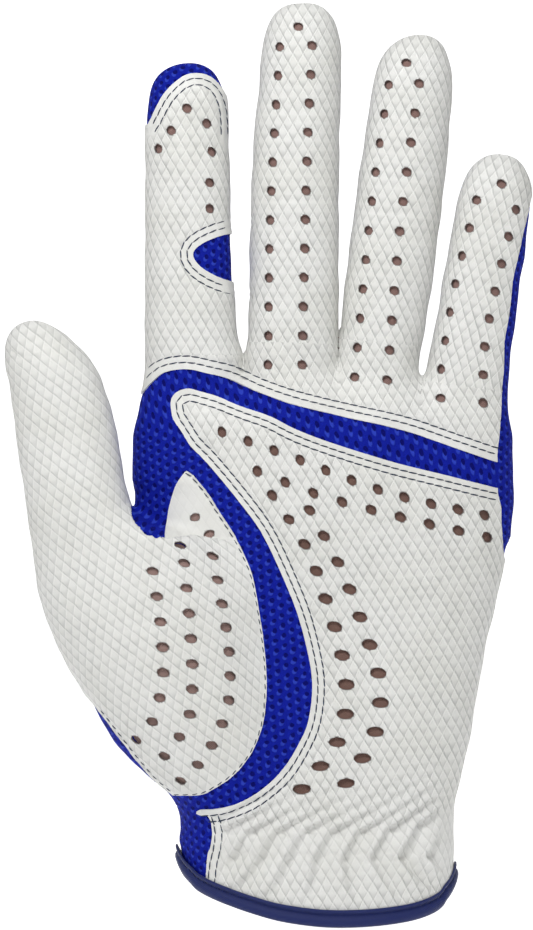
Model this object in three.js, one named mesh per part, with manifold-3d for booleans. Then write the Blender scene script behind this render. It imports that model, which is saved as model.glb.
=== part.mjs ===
// Left-hand golf glove, standing with its fingers up, as a hand inside it would hold it.
// Millimetres. +Z runs from the cuff to the fingertips, -Y is the palm side, +X the little finger side.
// The origin is the middle of the wrist opening.
// The glove is a sewn shell: a leather palm side with perforated panels, a stretch mesh gore that
// crosses the palm, a mostly mesh back, and a cuff that closes with a tab.
// Every finger folds towards the palm about a crease at its root, and the tab peels open.

import * as THREE from 'three';
import { mergeVertices } from 'three/addons/utils/BufferGeometryUtils.js';
import Module from 'manifold-3d';

// ---------------------------------------------------------------- driving dimensions

const WALL = 1.5;               // panel and lining together
const GAP = 0.3;                // seam clearance between neighbouring panels
const REACH = 90;               // half depth of every cutting prism
const TALL = 260;               // height of every cutting block: above the longest fingertip
const HAND_FACETS = 28;         // sides of a hand section
const FINGER_FACETS = 16;       // sides of a finger section
const ROUNDNESS = 2.3;          // superellipse exponent of every section

// Sections of the hand: height, thumb side edge, little finger side edge, palm face, back face.
const PALM = [
  [-6, -34.6, 34.6, -20.5, 20.5],
  [14, -34.8, 34.6, -20.6, 20.6],
  [27, -34.4, 33.8, -19.5, 19.2],
  [40, -36, 35.7, -18, 17.2],
  [55, -40, 39, -17, 16],
  [70, -43, 41.6, -16.5, 15.6],
  [90, -45, 46, -15.8, 15],
  [108, -46.2, 48.3, -15, 14.4],
  [122, -45.8, 47.4, -14, 13.6],
  [127, -45.2, 47, -13.2, 12.9],
  [133, -43.8, 33, -12, 12],
  [138, -42.6, 22, -10.6, 10.6],
];

// Sections of the thumb with the ball of the thumb below it, in the same order.
const THUMB = [
  [24, -32, -8, -16, 9],
  [36, -38.5, -8, -19.5, 9],
  [48, -51.2, -10, -22, 9],
  [62, -60.4, -14, -23.5, 8],
  [76, -66.9, -20, -23.5, 6],
  [88, -70.2, -29, -22.5, 5],
  [98, -71.8, -40.5, -20.8, 3],
  [106, -72.9, -47.3, -19, 1.6],
  [118, -74.6, -49.6, -17.8, 1],
  [130, -76.4, -52, -17.2, 0.6],
  [140, -78, -56.2, -16.2, -0.4],
  [146, -77.2, -61, -14.8, -1.8],
  [149.6, -75.2, -66.8, -12, -4.6],
];

// Every finger: its sections (height, thumb side edge, little finger side edge), its half depth,
// the height of its root crease and its lean towards the little finger in degrees.
const FINGERS = {
  index: {
    edges: [
      [118, -45.4, -20.5],
      [140, -43.4, -18.6],
      [150, -43.2, -21.2],
      [172, -43.2, -22],
      [199, -43.2, -22.6],
      [206, -42.1, -23.2],
      [211.5, -39, -24.8],
      [214.8, -34.8, -28.6],
    ],
    halfDepth: 9.4,
    crease: 151,
    lean: 0.5,
  },
  middle: {
    edges: [
      [118, -19, 4.6],
      [141, -18, 4.7],
      [156, -17, 4.9],
      [180, -16.7, 5.1],
      [203, -15.2, 5.4],
      [216, -13.6, 6],
      [225, -11.2, 5.1],
      [229.8, -7.6, 1.6],
    ],
    halfDepth: 9.7,
    crease: 154,
    lean: 1.5,
  },
  ring: {
    edges: [
      [112, 1.5, 24.6],
      [138, 4.6, 25.4],
      [150, 6.2, 27],
      [168, 7.8, 29.3],
      [188, 10.6, 31.5],
      [205, 13.2, 33.1],
      [215, 15.8, 32.9],
      [221.2, 21, 29.8],
    ],
    halfDepth: 9.4,
    crease: 154,
    lean: 5.5,
  },
  little: {
    edges: [
      [104, 22.5, 48.4],
      [124, 24.6, 47.3],
      [137, 26.6, 47.5],
      [151, 29.6, 49.2],
      [166, 32.3, 51.4],
      [179, 34.9, 53.2],
      [187.5, 38, 52.4],
      [192, 42.4, 49.4],
    ],
    halfDepth: 8.7,
    crease: 143,
    lean: 8,
  },
};
const THUMB_CREASE = { x: -61.3, z: 113, middle: -9.2, lean: -11 };

// Fourchette strips along the sides of a finger: half width, and how far they stop below the tip.
const SIDE_STRIP = { half: 3.4, belowTip: 12 };

// Height of the fold where the thumb panel meets the web gusset.
const THUMB_FOLD = 97.1;

// Outlines on the palm side, seen from the palm: across and up.
const GORE = [
  [-50, 136.5], [-43.8, 133.8], [-38.7, 138], [-31.7, 138.8], [-18, 135.3], [-5.6, 130], [14.5, 124.9],
  [33.8, 119.4], [45, 115.7], [52, 114],
  [52, 108], [45, 109.2], [25, 114.2], [3, 120.6], [-11.9, 127.1], [-29.8, 133.5], [-35.2, 133.3],
  [-36.8, 129.4], [-31.7, 119.5], [-23.1, 110.2], [-13.6, 97.2], [-7.3, 83.5], [-3.1, 69.9], [-1.6, 58],
  [-5, 45.7], [-12.7, 35.8], [-24.3, 29.9], [-29.5, 29.3], [-50, 29.3],
  [-50, 32.8], [-36.5, 32.8], [-29.5, 33.2], [-21.4, 37.9], [-14.8, 47.4], [-12.8, 62.2], [-15.4, 83.2],
  [-21.7, 98.6], [-27.3, 107.4], [-31.2, 112.8], [-34.4, 112], [-37.1, 105.8], [-37.9, THUMB_FOLD],
  [-45.4, THUMB_FOLD], [-45.4, 124], [-50, 126],
];

// Areas that the gore parts from each other. Their common edges run inside the gore.
const BAND = [[-30, 136], [-12, 130], [3, 124], [25, 117], [48, 112], [70, 112]];
const BRIDGE_REGION = [[-60, 136], ...BAND, [70, 160], [-60, 160]];
const CRESCENT = [[-16, 37.5], [-10, 46], [-7, 58], [-8, 70], [-11, 83], [-19, 100]];
const PALM_REGION = [
  [-70, 31], [-24, 31.5], ...CRESCENT, [-26, 110], [-33, 118], [-39, 128], [-39, 136], ...BAND,
  [70, -30], [-70, -30],
];
const WEB_REGION = [[-41, THUMB_FOLD + GAP], [-41, 110], [-33, 116], [-22, 104], [-18, THUMB_FOLD + GAP]];
const THUMB_REGION = [
  [-100, 31], [-24, 31.5], ...CRESCENT.slice(0, 5), [-18, THUMB_FOLD], [-100, THUMB_FOLD],
];
const THUMB_TOP_REGION = [[-100, THUMB_FOLD - 1], [-45.4, THUMB_FOLD - 1], [-45.4, 130], [-100, 130]];
const WRIST_MESH_REGION = [[-70, 31], [-27.4, 31], [-26.5, 24], [-27.9, 14], [-28.6, 0], [-70, 0]];

// Outlines on the index finger: the tip cap's lower edge, and the inset at its middle joint.
const TIP_CAP = [
  [-50, 201], [-42.5, 201.2], [-38.7, 207.7], [-34, 211.6], [-30.7, 212.6], [-25.3, 211.2], [-16, 209],
  [-16, 222], [-50, 222],
];
const SIDE_INSET = [
  [-31.2, 167.7], [-28, 171.4], [-23, 173], [-10, 173.6], [-10, 160.6], [-23, 161.2], [-28, 163.6],
];

// Outlines on the back.
const KNUCKLE_REGION = [[-60, 112], [-20, 118], [10, 116], [34, 108], [70, 104], [70, 160], [-60, 160]];
const THUMB_BACK_REGION = [[-100, 70], [-52, 74], [-44.5, 92], [-44.5, 130], [-100, 130]];
const SLIT = [[-1.5, 52], [-3.6, 50], [-5.5, -20], [2.5, -20], [0.6, 50]];
const SLIT_FACING = [[-1.5, 54], [-5.8, 51], [-8, 8], [5, 8], [2.8, 51]];

// Cuff hem: the binding's lower edge and its height, and how far it stands proud of the panels.
const HEM = [
  [-60, 24], [-34.8, 15], [-32.9, 11.7], [-29.3, 8.6], [-23.2, 5.5], [-16.6, 3.3], [-8.9, 1.3],
  [1.3, 0], [11.5, 0], [21.7, 1], [29.4, 3], [32.5, 5.4], [34.8, 11], [60, 20],
];
const HEM_STEPS = 26;
const BINDING_HEIGHT = 4.2;
const BINDING_PROUD = 0.7;

// Elastic tapes sewn inside the palm side of the wrist.
const TAPE_THICKNESS = 0.8;
const TAPES = { wrist_elastic_upper: [23, 27.5], wrist_elastic_lower: [14, 18.5] };

// Ulnar side mesh, between palm and back: half its width, and the side of the hand that it covers.
const ULNAR_HALF = 5.8;
const ULNAR_REGION = [[28, -40], [70, -40], [70, 160], [41, 160], [41, 100], [36, 70], [28, 50]];

// Where the palm side meets the back, seen from above. It steps forward at the ball of the thumb.
const PARTING = [[REACH, 0], [-40, 0], [-50, -8], [-110, -8]];

// Closure tab on the back of the wrist: anchored on the thumb side, free end towards the little finger.
const TAB = {
  hingeX: -19,
  rootX: -27,
  patchX: [5.5, 24],
  low: 13,
  high: 38,
  thickness: 1.6,
  lift: 2.6,
  tipX: 25,
};
const PATCH_THICKNESS = 0.8;

// ---------------------------------------------------------------- colours

const LEATHER = { color: 0xe3e6e3, roughness: 0.55, metalness: 0 };
const MESH = { color: 0x1e2da8, roughness: 0.8, metalness: 0 };
const BINDING = { color: 0x23418f, roughness: 0.4, metalness: 0 };
const ELASTIC = { color: 0xd8dad8, roughness: 0.8, metalness: 0 };
const HOOK = { color: 0x25304f, roughness: 0.7, metalness: 0 };

// ---------------------------------------------------------------- solids

const wasm = await Module();
wasm.setup();

function solid(geometry) {
  const bare = geometry.index ? geometry.toNonIndexed() : geometry.clone();
  bare.deleteAttribute('normal');
  bare.deleteAttribute('uv');
  const merged = mergeVertices(bare, 1e-4);
  return new wasm.Manifold(new wasm.Mesh({
    numProp: 3,
    vertProperties: new Float32Array(merged.attributes.position.array),
    triVerts: new Uint32Array(merged.index.array),
  }));
}

// A closed form through flat sections. Each section is [z, xLow, xHigh, yLow, yHigh].
function loft(sections, facets) {
  const points = [];
  const faces = [];
  const power = 2 / ROUNDNESS;
  const bend = (v) => Math.sign(v) * Math.abs(v) ** power;
  for (const [z, xLow, xHigh, yLow, yHigh] of sections) {
    for (let k = 0; k < facets; k += 1) {
      const angle = (2 * Math.PI * k) / facets;
      const x = (xLow + xHigh) / 2 + ((xHigh - xLow) / 2) * bend(Math.cos(angle));
      const y = (yLow + yHigh) / 2 + ((yHigh - yLow) / 2) * bend(Math.sin(angle));
      points.push(x, y, z);
    }
  }
  const rings = sections.length;
  for (let ring = 0; ring + 1 < rings; ring += 1) {
    for (let k = 0; k < facets; k += 1) {
      const a = ring * facets + k;
      const b = ring * facets + ((k + 1) % facets);
      faces.push(a, b, b + facets, a, b + facets, a + facets);
    }
  }
  const top = (rings - 1) * facets;
  for (let k = 1; k + 1 < facets; k += 1) {
    faces.push(0, k + 1, k);
    faces.push(top, top + k, top + k + 1);
  }
  const geometry = new THREE.BufferGeometry();
  geometry.setAttribute('position', new THREE.Float32BufferAttribute(points, 3));
  geometry.setIndex(faces);
  return solid(geometry);
}

// The same sections, pushed in by a distance. Only the closed end at the top moves down.
function inset(sections, distance) {
  return sections.map(([z, xLow, xHigh, yLow, yHigh], k) => {
    const fall = k + 1 === sections.length ? distance : 0;
    return [z - fall, xLow + distance, xHigh - distance, yLow + distance, yHigh - distance];
  });
}

// A prism through the whole depth between two depths, with an outline seen from the palm side.
function prism(outline, yLow = -REACH, yHigh = REACH) {
  const shape = new THREE.Shape(outline.map(([x, z]) => new THREE.Vector2(x, z)));
  const geometry = new THREE.ExtrudeGeometry(shape, { depth: yHigh - yLow, bevelEnabled: false });
  geometry.rotateX(Math.PI / 2);
  geometry.translate(0, yHigh, 0);
  return solid(geometry);
}

// A smooth curve through the points, from the first to the last.
function smooth(points, steps) {
  const curve = new THREE.CatmullRomCurve3(
    points.map(([x, z]) => new THREE.Vector3(x, 0, z)), false, 'centripetal');
  return curve.getPoints(steps).map((p) => [p.x, p.z]);
}

// An outline moved outwards by a distance. The outline runs clockwise or anticlockwise.
function grow(outline, distance) {
  const area = outline.reduce((sum, [x, z], k) => {
    const [nextX, nextZ] = outline[(k + 1) % outline.length];
    return sum + x * nextZ - nextX * z;
  }, 0);
  const side = Math.sign(area) * distance;
  return outline.map(([x, z], k) => {
    const before = outline[(k + outline.length - 1) % outline.length];
    const after = outline[(k + 1) % outline.length];
    const inward = new THREE.Vector2(x - before[0], z - before[1]).normalize();
    const outward = new THREE.Vector2(after[0] - x, after[1] - z).normalize();
    const normal = new THREE.Vector2(inward.y + outward.y, -inward.x - outward.x).normalize();
    const stretch = Math.max(0.5, normal.dot(new THREE.Vector2(outward.y, -outward.x)));
    return [x + (side * normal.x) / stretch, z + (side * normal.y) / stretch];
  });
}

function block(xLow, xHigh, yLow, yHigh, zLow, zHigh) {
  const geometry = new THREE.BoxGeometry(xHigh - xLow, yHigh - yLow, zHigh - zLow);
  geometry.translate((xLow + xHigh) / 2, (yLow + yHigh) / 2, (zLow + zHigh) / 2);
  return solid(geometry);
}

// Everything above a crease: a block standing on a plane that leans with the finger.
function above(x, z, lean) {
  const size = 2 * REACH;
  const geometry = new THREE.BoxGeometry(size, size, size);
  geometry.translate(0, 0, size / 2);
  geometry.rotateY(THREE.MathUtils.degToRad(lean));
  geometry.translate(x, 0, z);
  return solid(geometry);
}

// ---------------------------------------------------------------- forms

// Full sections of a finger. Its depth shrinks with its width towards the tip.
function fingerSections({ edges, halfDepth }) {
  const full = Math.max(...edges.slice(2).map(([, low, high]) => high - low));
  return edges.map(([z, low, high], k) => {
    const share = k < 3 ? 1 : Math.min(1, (high - low) / full);
    return [z, low, high, -halfDepth * share, halfDepth * share];
  });
}

function creaseOf(finger) {
  const row = finger.edges.findIndex(([z]) => z > finger.crease);
  const [zLow, lowA, highA] = finger.edges[row - 1];
  const [zHigh, lowB, highB] = finger.edges[row];
  const t = (finger.crease - zLow) / (zHigh - zLow);
  return { x: (lowA + highA + t * (lowB + highB - lowA - highA)) / 2, z: finger.crease };
}

const sectionSets = Object.fromEntries(
  Object.entries(FINGERS).map(([name, finger]) => [name, fingerSections(finger)]));

const hemBelow = prism([...smooth(HEM, HEM_STEPS), [60, -40], [-60, -40]]);
const bindingTop = prism([
  ...smooth(HEM, HEM_STEPS).map(([x, z]) => [x, z + BINDING_HEIGHT + GAP]), [60, -40], [-60, -40],
]);
const bindingBand = prism([
  ...smooth(HEM, HEM_STEPS).map(([x, z]) => [x, z + BINDING_HEIGHT]), [60, -40], [-60, -40],
]).subtract(hemBelow);

function outerHand() {
  const stub = (name) => {
    const { x, z } = creaseOf(FINGERS[name]);
    return loft(sectionSets[name], FINGER_FACETS).subtract(above(x, z, FINGERS[name].lean));
  };
  const thumb = loft(THUMB, FINGER_FACETS)
    .subtract(above(THUMB_CREASE.x, THUMB_CREASE.z, THUMB_CREASE.lean));
  return Object.keys(FINGERS).reduce(
    (sum, name) => sum.add(stub(name)), loft(PALM, HAND_FACETS).add(thumb));
}

function innerHand() {
  const thumb = loft(inset(THUMB, WALL), FINGER_FACETS);
  return Object.values(sectionSets).reduce(
    (sum, sections) => sum.add(loft(inset(sections, WALL), FINGER_FACETS)),
    loft(inset(PALM, WALL), HAND_FACETS).add(thumb));
}

// One side of the parting surface, pulled back from it by half a seam. Side is -1 for the palm.
function sideOf(side) {
  const edge = PARTING.map(([x, y]) => [x, y + (side * GAP) / 2]);
  const outline = [...edge, [-110, side * REACH], [REACH, side * REACH]];
  const shape = new THREE.Shape(outline.map(([x, y]) => new THREE.Vector2(x, y)));
  const geometry = new THREE.ExtrudeGeometry(shape, { depth: 300, bevelEnabled: false });
  geometry.translate(0, 0, -40);
  return solid(geometry);
}

const handShell = outerHand().subtract(innerHand()).subtract(bindingTop);
const palmSide = sideOf(-1);
const backSide = sideOf(1);
const ulnarSide = prism(ULNAR_REGION, -ULNAR_HALF, ULNAR_HALF);
const ulnarClear = prism(grow(ULNAR_REGION, GAP), -ULNAR_HALF - GAP, ULNAR_HALF + GAP);

// ---------------------------------------------------------------- hand panels

const glove = new THREE.Group();

function addNode(name, body, look) {
  const mesh = body.getMesh();
  const geometry = new THREE.BufferGeometry();
  geometry.setAttribute('position', new THREE.Float32BufferAttribute(mesh.vertProperties, 3));
  geometry.setIndex(Array.from(mesh.triVerts));
  geometry.computeVertexNormals();
  const node = new THREE.Mesh(geometry, new THREE.MeshStandardMaterial(look));
  node.name = name;
  glove.add(node);
}

function addPalmSide() {
  const front = handShell.intersect(palmSide).subtract(ulnarClear);
  const clearOfGore = front.subtract(prism(grow(GORE, GAP)));
  const thumbArea = prism(THUMB_REGION).add(prism(THUMB_TOP_REGION));
  const wristArea = prism(WRIST_MESH_REGION);
  const palm = clearOfGore.intersect(prism(PALM_REGION));
  addNode('gore_mesh', front.intersect(prism(GORE)), MESH);
  addNode('finger_bridge_panel', clearOfGore.intersect(prism(BRIDGE_REGION)), LEATHER);
  addNode('palm_panel', palm.subtract(prism(grow(WRIST_MESH_REGION, GAP))), LEATHER);
  addNode('wrist_side_mesh', palm.intersect(wristArea), MESH);
  addNode('thumb_web_gusset', clearOfGore.intersect(prism(WEB_REGION)), LEATHER);
  addNode('thumb_palm_panel', clearOfGore.intersect(thumbArea), LEATHER);
}

function addBackSide() {
  const back = handShell.intersect(backSide).subtract(ulnarClear);
  const knuckles = prism(KNUCKLE_REGION);
  const thumbBack = prism(THUMB_BACK_REGION);
  const slit = prism(SLIT, 0, REACH);
  const mesh = back
    .subtract(prism(grow(KNUCKLE_REGION, GAP)))
    .subtract(prism(grow(THUMB_BACK_REGION, GAP)))
    .subtract(slit);
  const thumbRoot = prism(grow(THUMB_BACK_REGION, GAP));
  addNode('back_knuckle_panel', back.intersect(knuckles).subtract(thumbRoot), LEATHER);
  addNode('thumb_back_panel', back.intersect(thumbBack), LEATHER);
  addNode('back_mesh', mesh, MESH);
  addNode('ulnar_side_mesh', handShell.intersect(ulnarSide), MESH);
}

// A curved plate that follows the wrist at a distance outside it.
function wristPlate(low, high) {
  const outwards = (distance) => PALM.slice(0, 6).map(([z, xLow, xHigh, yLow, yHigh]) => [
    z, xLow - distance, xHigh + distance, yLow - distance, yHigh + distance,
  ]);
  return loft(outwards(high), HAND_FACETS).subtract(loft(outwards(low), HAND_FACETS));
}

function addCuff() {
  const band = wristPlate(-WALL - BINDING_PROUD, BINDING_PROUD).intersect(bindingBand);
  addNode('cuff_binding', band.subtract(prism(SLIT, 0, REACH)), BINDING);
  for (const [name, [zLow, zHigh]] of Object.entries(TAPES)) {
    const tape = wristPlate(-WALL - GAP - TAPE_THICKNESS, -WALL - GAP)
      .intersect(block(-23, 27, -REACH, -8, zLow, zHigh));
    addNode(name, tape, ELASTIC);
  }
  const facing = wristPlate(GAP, GAP + PATCH_THICKNESS)
    .intersect(prism(SLIT_FACING, 0, REACH))
    .subtract(prism(SLIT, 0, REACH))
    .intersect(block(-REACH, REACH, 0, REACH, TAB.high, 60));
  addNode('slit_facing', facing, BINDING);
}

// ---------------------------------------------------------------- closure

function addClosure() {
  const strip = (xLow, xHigh, zLow, zHigh) => block(xLow, xHigh, 0, REACH, zLow, zHigh);
  const outer = TAB.lift + TAB.thickness;
  const hookLow = GAP + PATCH_THICKNESS + GAP;
  const root = strip(TAB.rootX, TAB.hingeX - GAP, TAB.low, TAB.high);
  addNode('closure_tab_root_patch', wristPlate(GAP, TAB.lift - GAP).intersect(root), LEATHER);
  addNode('closure_tab_root', wristPlate(TAB.lift, outer).intersect(root), LEATHER);
  addNode('closure_loop_patch',
    wristPlate(GAP, GAP + PATCH_THICKNESS)
      .intersect(strip(TAB.patchX[0], TAB.patchX[1], TAB.low + 1, TAB.high - 1)), HOOK);
  const outline = new THREE.Shape();
  const middle = (TAB.low + TAB.high) / 2;
  const round = (TAB.high - TAB.low) / 2;
  outline.moveTo(TAB.hingeX, TAB.low);
  outline.lineTo(TAB.tipX - round, TAB.low);
  outline.absarc(TAB.tipX - round, middle, round, -Math.PI / 2, Math.PI / 2, false);
  outline.lineTo(TAB.hingeX, TAB.high);
  const tabOutline = outline.getPoints(8).map((p) => [p.x, p.y]);
  const tab = wristPlate(TAB.lift, outer).intersect(prism(tabOutline, 0, REACH));
  addNode('closure_tab', tab, LEATHER);
  addNode('closure_hook_patch',
    wristPlate(hookLow, TAB.lift - GAP)
      .intersect(strip(TAB.patchX[0] + 1, TAB.patchX[1] - 7, TAB.low + 2, TAB.high - 2)), HOOK);
}

// ---------------------------------------------------------------- fingers and thumb

function addFinger(name, finger) {
  const sections = sectionSets[name];
  const { x, z } = creaseOf(finger);
  const shell = loft(sections, FINGER_FACETS)
    .subtract(loft(inset(sections, WALL), FINGER_FACETS))
    .intersect(above(x, z + GAP, finger.lean));
  const palmSideOfFinger = block(-REACH, REACH, -REACH, -GAP / 2, 0, TALL);
  const backSideOfFinger = block(-REACH, REACH, GAP / 2, REACH, 0, TALL);
  const tip = sections[sections.length - 1][0] - SIDE_STRIP.belowTip;
  const { half } = SIDE_STRIP;
  const strips = block(-REACH, REACH, -half, half, 0, tip);
  const stripsClear = block(-REACH, REACH, -half - GAP, half + GAP, 0, tip + GAP);
  const thumbSide = block(-REACH, x + 3, -REACH, REACH, 0, TALL);
  const littleSide = block(x + 3, REACH, -REACH, REACH, 0, TALL);
  let front = shell.intersect(palmSideOfFinger).subtract(stripsClear);
  if (name === 'index') {
    addNode('index_tip_cap', front.intersect(prism(TIP_CAP)), MESH);
    addNode('index_side_inset', front.intersect(prism(SIDE_INSET)), MESH);
    front = front.subtract(prism(grow(TIP_CAP, GAP))).subtract(prism(grow(SIDE_INSET, GAP)));
  }
  addNode(`${name}_front_panel`, front, LEATHER);
  addNode(`${name}_back_panel`, shell.intersect(backSideOfFinger).subtract(stripsClear), MESH);
  addNode(`${name}_thumbward_strip`, shell.intersect(strips).intersect(thumbSide), MESH);
  addNode(`${name}_outer_strip`, shell.intersect(strips).intersect(littleSide), MESH);
}

function addThumb() {
  const shell = loft(THUMB, FINGER_FACETS)
    .subtract(loft(inset(THUMB, WALL), FINGER_FACETS))
    .intersect(above(THUMB_CREASE.x, THUMB_CREASE.z + GAP, THUMB_CREASE.lean));
  const split = THUMB_CREASE.middle;
  addNode('thumb_front_panel',
    shell.intersect(block(-REACH, 0, -REACH, split - GAP / 2, 0, TALL)), LEATHER);
  addNode('thumb_rear_panel',
    shell.intersect(block(-REACH, 0, split + GAP / 2, REACH, 0, TALL)), LEATHER);
}

addPalmSide();
addBackSide();
addCuff();
addClosure();
for (const [name, finger] of Object.entries(FINGERS)) {
  addFinger(name, finger);
}
addThumb();

export default glove;
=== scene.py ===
# Looks of the golf glove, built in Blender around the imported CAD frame.
# Lengths in this file are millimetres, and MM turns them into metres for Blender.
# +Z runs from the cuff to the fingertips, -Y is the palm side, +X the little finger side.
# The glove's skin is one smooth surface, taken from a distance field of lofted limbs. Every panel is a
# patch of that skin, cut along its seam lines and given its own thickness and depth.

import math

import bpy
import numpy as np
import openvdb
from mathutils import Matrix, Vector
from mathutils.bvhtree import BVHTree


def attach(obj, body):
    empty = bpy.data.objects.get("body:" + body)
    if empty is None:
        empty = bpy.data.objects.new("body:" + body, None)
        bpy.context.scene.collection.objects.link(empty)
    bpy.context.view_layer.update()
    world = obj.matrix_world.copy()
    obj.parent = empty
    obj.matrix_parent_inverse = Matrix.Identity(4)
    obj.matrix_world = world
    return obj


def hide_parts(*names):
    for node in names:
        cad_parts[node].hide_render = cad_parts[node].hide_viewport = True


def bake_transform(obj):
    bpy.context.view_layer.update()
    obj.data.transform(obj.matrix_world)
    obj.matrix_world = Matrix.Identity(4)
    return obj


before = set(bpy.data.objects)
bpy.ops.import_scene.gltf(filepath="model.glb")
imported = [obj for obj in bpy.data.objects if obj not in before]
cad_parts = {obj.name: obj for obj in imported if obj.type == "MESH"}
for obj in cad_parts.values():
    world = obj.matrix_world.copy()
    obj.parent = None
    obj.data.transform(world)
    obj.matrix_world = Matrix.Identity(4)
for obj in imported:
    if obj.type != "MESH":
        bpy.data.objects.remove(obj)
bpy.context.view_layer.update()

MM = 0.001
VOXEL = 0.6
SNAP = 0.05                 # a cut passes through a vertex that is nearer than this
ROUNDNESS = 2.3             # superellipse exponent of every section
FULLNESS = 0.25             # the skin lies this far outside the sections

# Depths of the layers below the skin: top and bottom of each.
LEATHER = (0.0, -0.55)
KNIT = (-0.55, -1.0)
LINING = (-1.05, -1.3)
ELASTIC = (-1.5, -2.2)
UNDERLAP = 2.5              # how far a knit panel runs on under a leather edge
CUT_EDGE = -1.0             # the smooth share's mark for the rim of a perforation, which the leather paints dark: the cut edge's own colour and painted shade

# ------------------------------------------------------------------ form of the hand

# Sections: height, thumb side edge, little finger side edge, palm face, back face.
PALM = [
    (-12, -32.6, 32.6, -20.3, 20.3),
    (6, -33.2, 33.2, -20.4, 20.4),
    (14, -33.9, 33.8, -20.2, 20.2),
    (21, -34.8, 33.8, -19.6, 19.6),
    (28.5, -33.9, 33.9, -18.8, 18.6),
    (36, -35.3, 35.3, -18.2, 17.7),
    (46, -37.8, 37.8, -17.6, 16.8),
    (58, -40.3, 39.8, -17.0, 16.1),
    (70, -42.8, 42.0, -16.5, 15.5),
    (84, -44.3, 45.4, -16.1, 15.1),
    (97, -45.6, 47.8, -15.7, 14.8),
    (108, -46.1, 49.0, -15.1, 14.4),
    (116, -45.8, 48.6, -14.5, 13.9),
    (124, -45.3, 47.8, -13.7, 13.3),
]
THUMB = [
    (24, -30.5, -8.0, -15.0, 9.0),
    (31, -35.0, -8.0, -18.5, 9.0),
    (38, -43.2, -9.0, -20.5, 9.0),
    (45, -50.0, -10.0, -22.0, 9.0),
    (55, -56.2, -12.0, -23.3, 8.5),
    (67, -63.0, -14.8, -23.6, 7.5),
    (80, -68.4, -16.8, -22.6, 5.5),
    (88, -70.2, -19.0, -21.4, 4.6),
    (94, -71.2, -23.5, -20.4, 3.8),
    (98.5, -71.7, -33.5, -19.9, 3.2),
    (102, -72.2, -44.0, -19.6, 2.6),
    (106, -72.7, -47.3, -19.2, 1.6),
    (118, -74.5, -49.6, -17.8, 1.0),
    (128, -75.9, -51.5, -17.2, 0.6),
    (136, -76.9, -54.3, -16.9, 0.2),
]
# Fingers: height, thumb side edge, little finger side edge, half depth.
INDEX = [
    (112, -45.4, -20.0, 9.4),
    (124, -45.5, -19.4, 9.4),
    (130, -45.0, -19.0, 9.4),
    (135, -43.6, -18.6, 9.4),
    (141, -43.2, -18.8, 9.4),
    (150, -43.2, -20.7, 9.3),
    (162, -43.3, -21.3, 9.1),
    (172, -43.3, -21.9, 9.0),
    (201.6, -43.2, -22.6, 8.6),
]
MIDDLE = [
    (112, -18.6, 4.5, 9.7),
    (141, -18.2, 4.9, 9.7),
    (150, -17.3, 4.9, 9.6),
    (169, -17.0, 5.0, 9.4),
    (183, -16.5, 5.1, 9.2),
    (198, -15.7, 5.3, 9.0),
    (212, -14.3, 5.7, 8.6),
]
RING = [
    (106, 1.0, 24.4, 9.4),
    (138, 4.6, 25.1, 9.4),
    (149, 6.0, 26.6, 9.3),
    (160, 7.0, 28.5, 9.2),
    (176, 9.1, 30.5, 9.0),
    (190, 11.0, 32.1, 8.8),
    (206, 13.4, 33.4, 8.5),
]
LITTLE = [
    (98, 22.0, 47.2, 8.7),
    (124, 24.9, 47.9, 8.7),
    (137, 27.0, 48.2, 8.7),
    (151, 29.9, 49.8, 8.5),
    (161, 31.5, 51.0, 8.4),
    (168, 32.8, 52.2, 8.3),
    (178.5, 34.9, 53.4, 8.0),
]

# Rounded ends: where the end starts, its height, its fullness, and how far its middle shifts across.
DOMES = {
    "palm": (121, 16, 2.2, 0),
    "thumb": (136, 14.8, 1.9, -5.8),
    "index": (201.6, 14.6, 2.5, 0.3),
    "middle": (212, 18.8, 2.7, 0.5),
    "ring": (206, 16.8, 2.35, 1.7),
    "little": (178.5, 14.5, 2.2, 1.5),
}

# Pads of the palm: middle across and up, half widths, and how far they stand out.
PADS = [
    (29, 52, 13, 26, 2.4),
    (4, 78, 15, 24, -2.2),
    (-31, 126, 8, 7, 1.0),
    (-7, 128, 8, 7, 0.9),
    (15, 125, 8, 7, 0.9),
    (37, 118, 8, 7, 0.8),
]

# Each joint's crease: middle across, height, lean towards the little finger in degrees.
CREASES = {
    "index": (-32.2, 151, 0.5),
    "middle": (-6.1, 154, 1.5),
    "ring": (17.03, 154, 5.5),
    "little": (38.06, 143, 8),
    "thumb": (-61.3, 113, -11),
}
BEND = 8.5                  # the skin bends over this distance on each side of a crease

# Middle lines of the gaps between the limbs: height, place across.
GAPS = [
    [(100, -44.0), (104, -46.7), (110, -47.6), (120, -48.2), (136, -49.2), (165, -52)],
    [(141, -18.4), (150, -19.2), (170, -19.4), (200, -19.0), (240, -18.6)],
    [(144, 4.9), (156, 5.9), (176, 7.1), (200, 8.8), (212, 9.8), (240, 12.0)],
    [(132, 25.6), (151, 28.3), (168, 31.0), (183, 33.4), (200, 36.5), (240, 42)],
]

# ------------------------------------------------------------------ seam lines, seen from the palm

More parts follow.
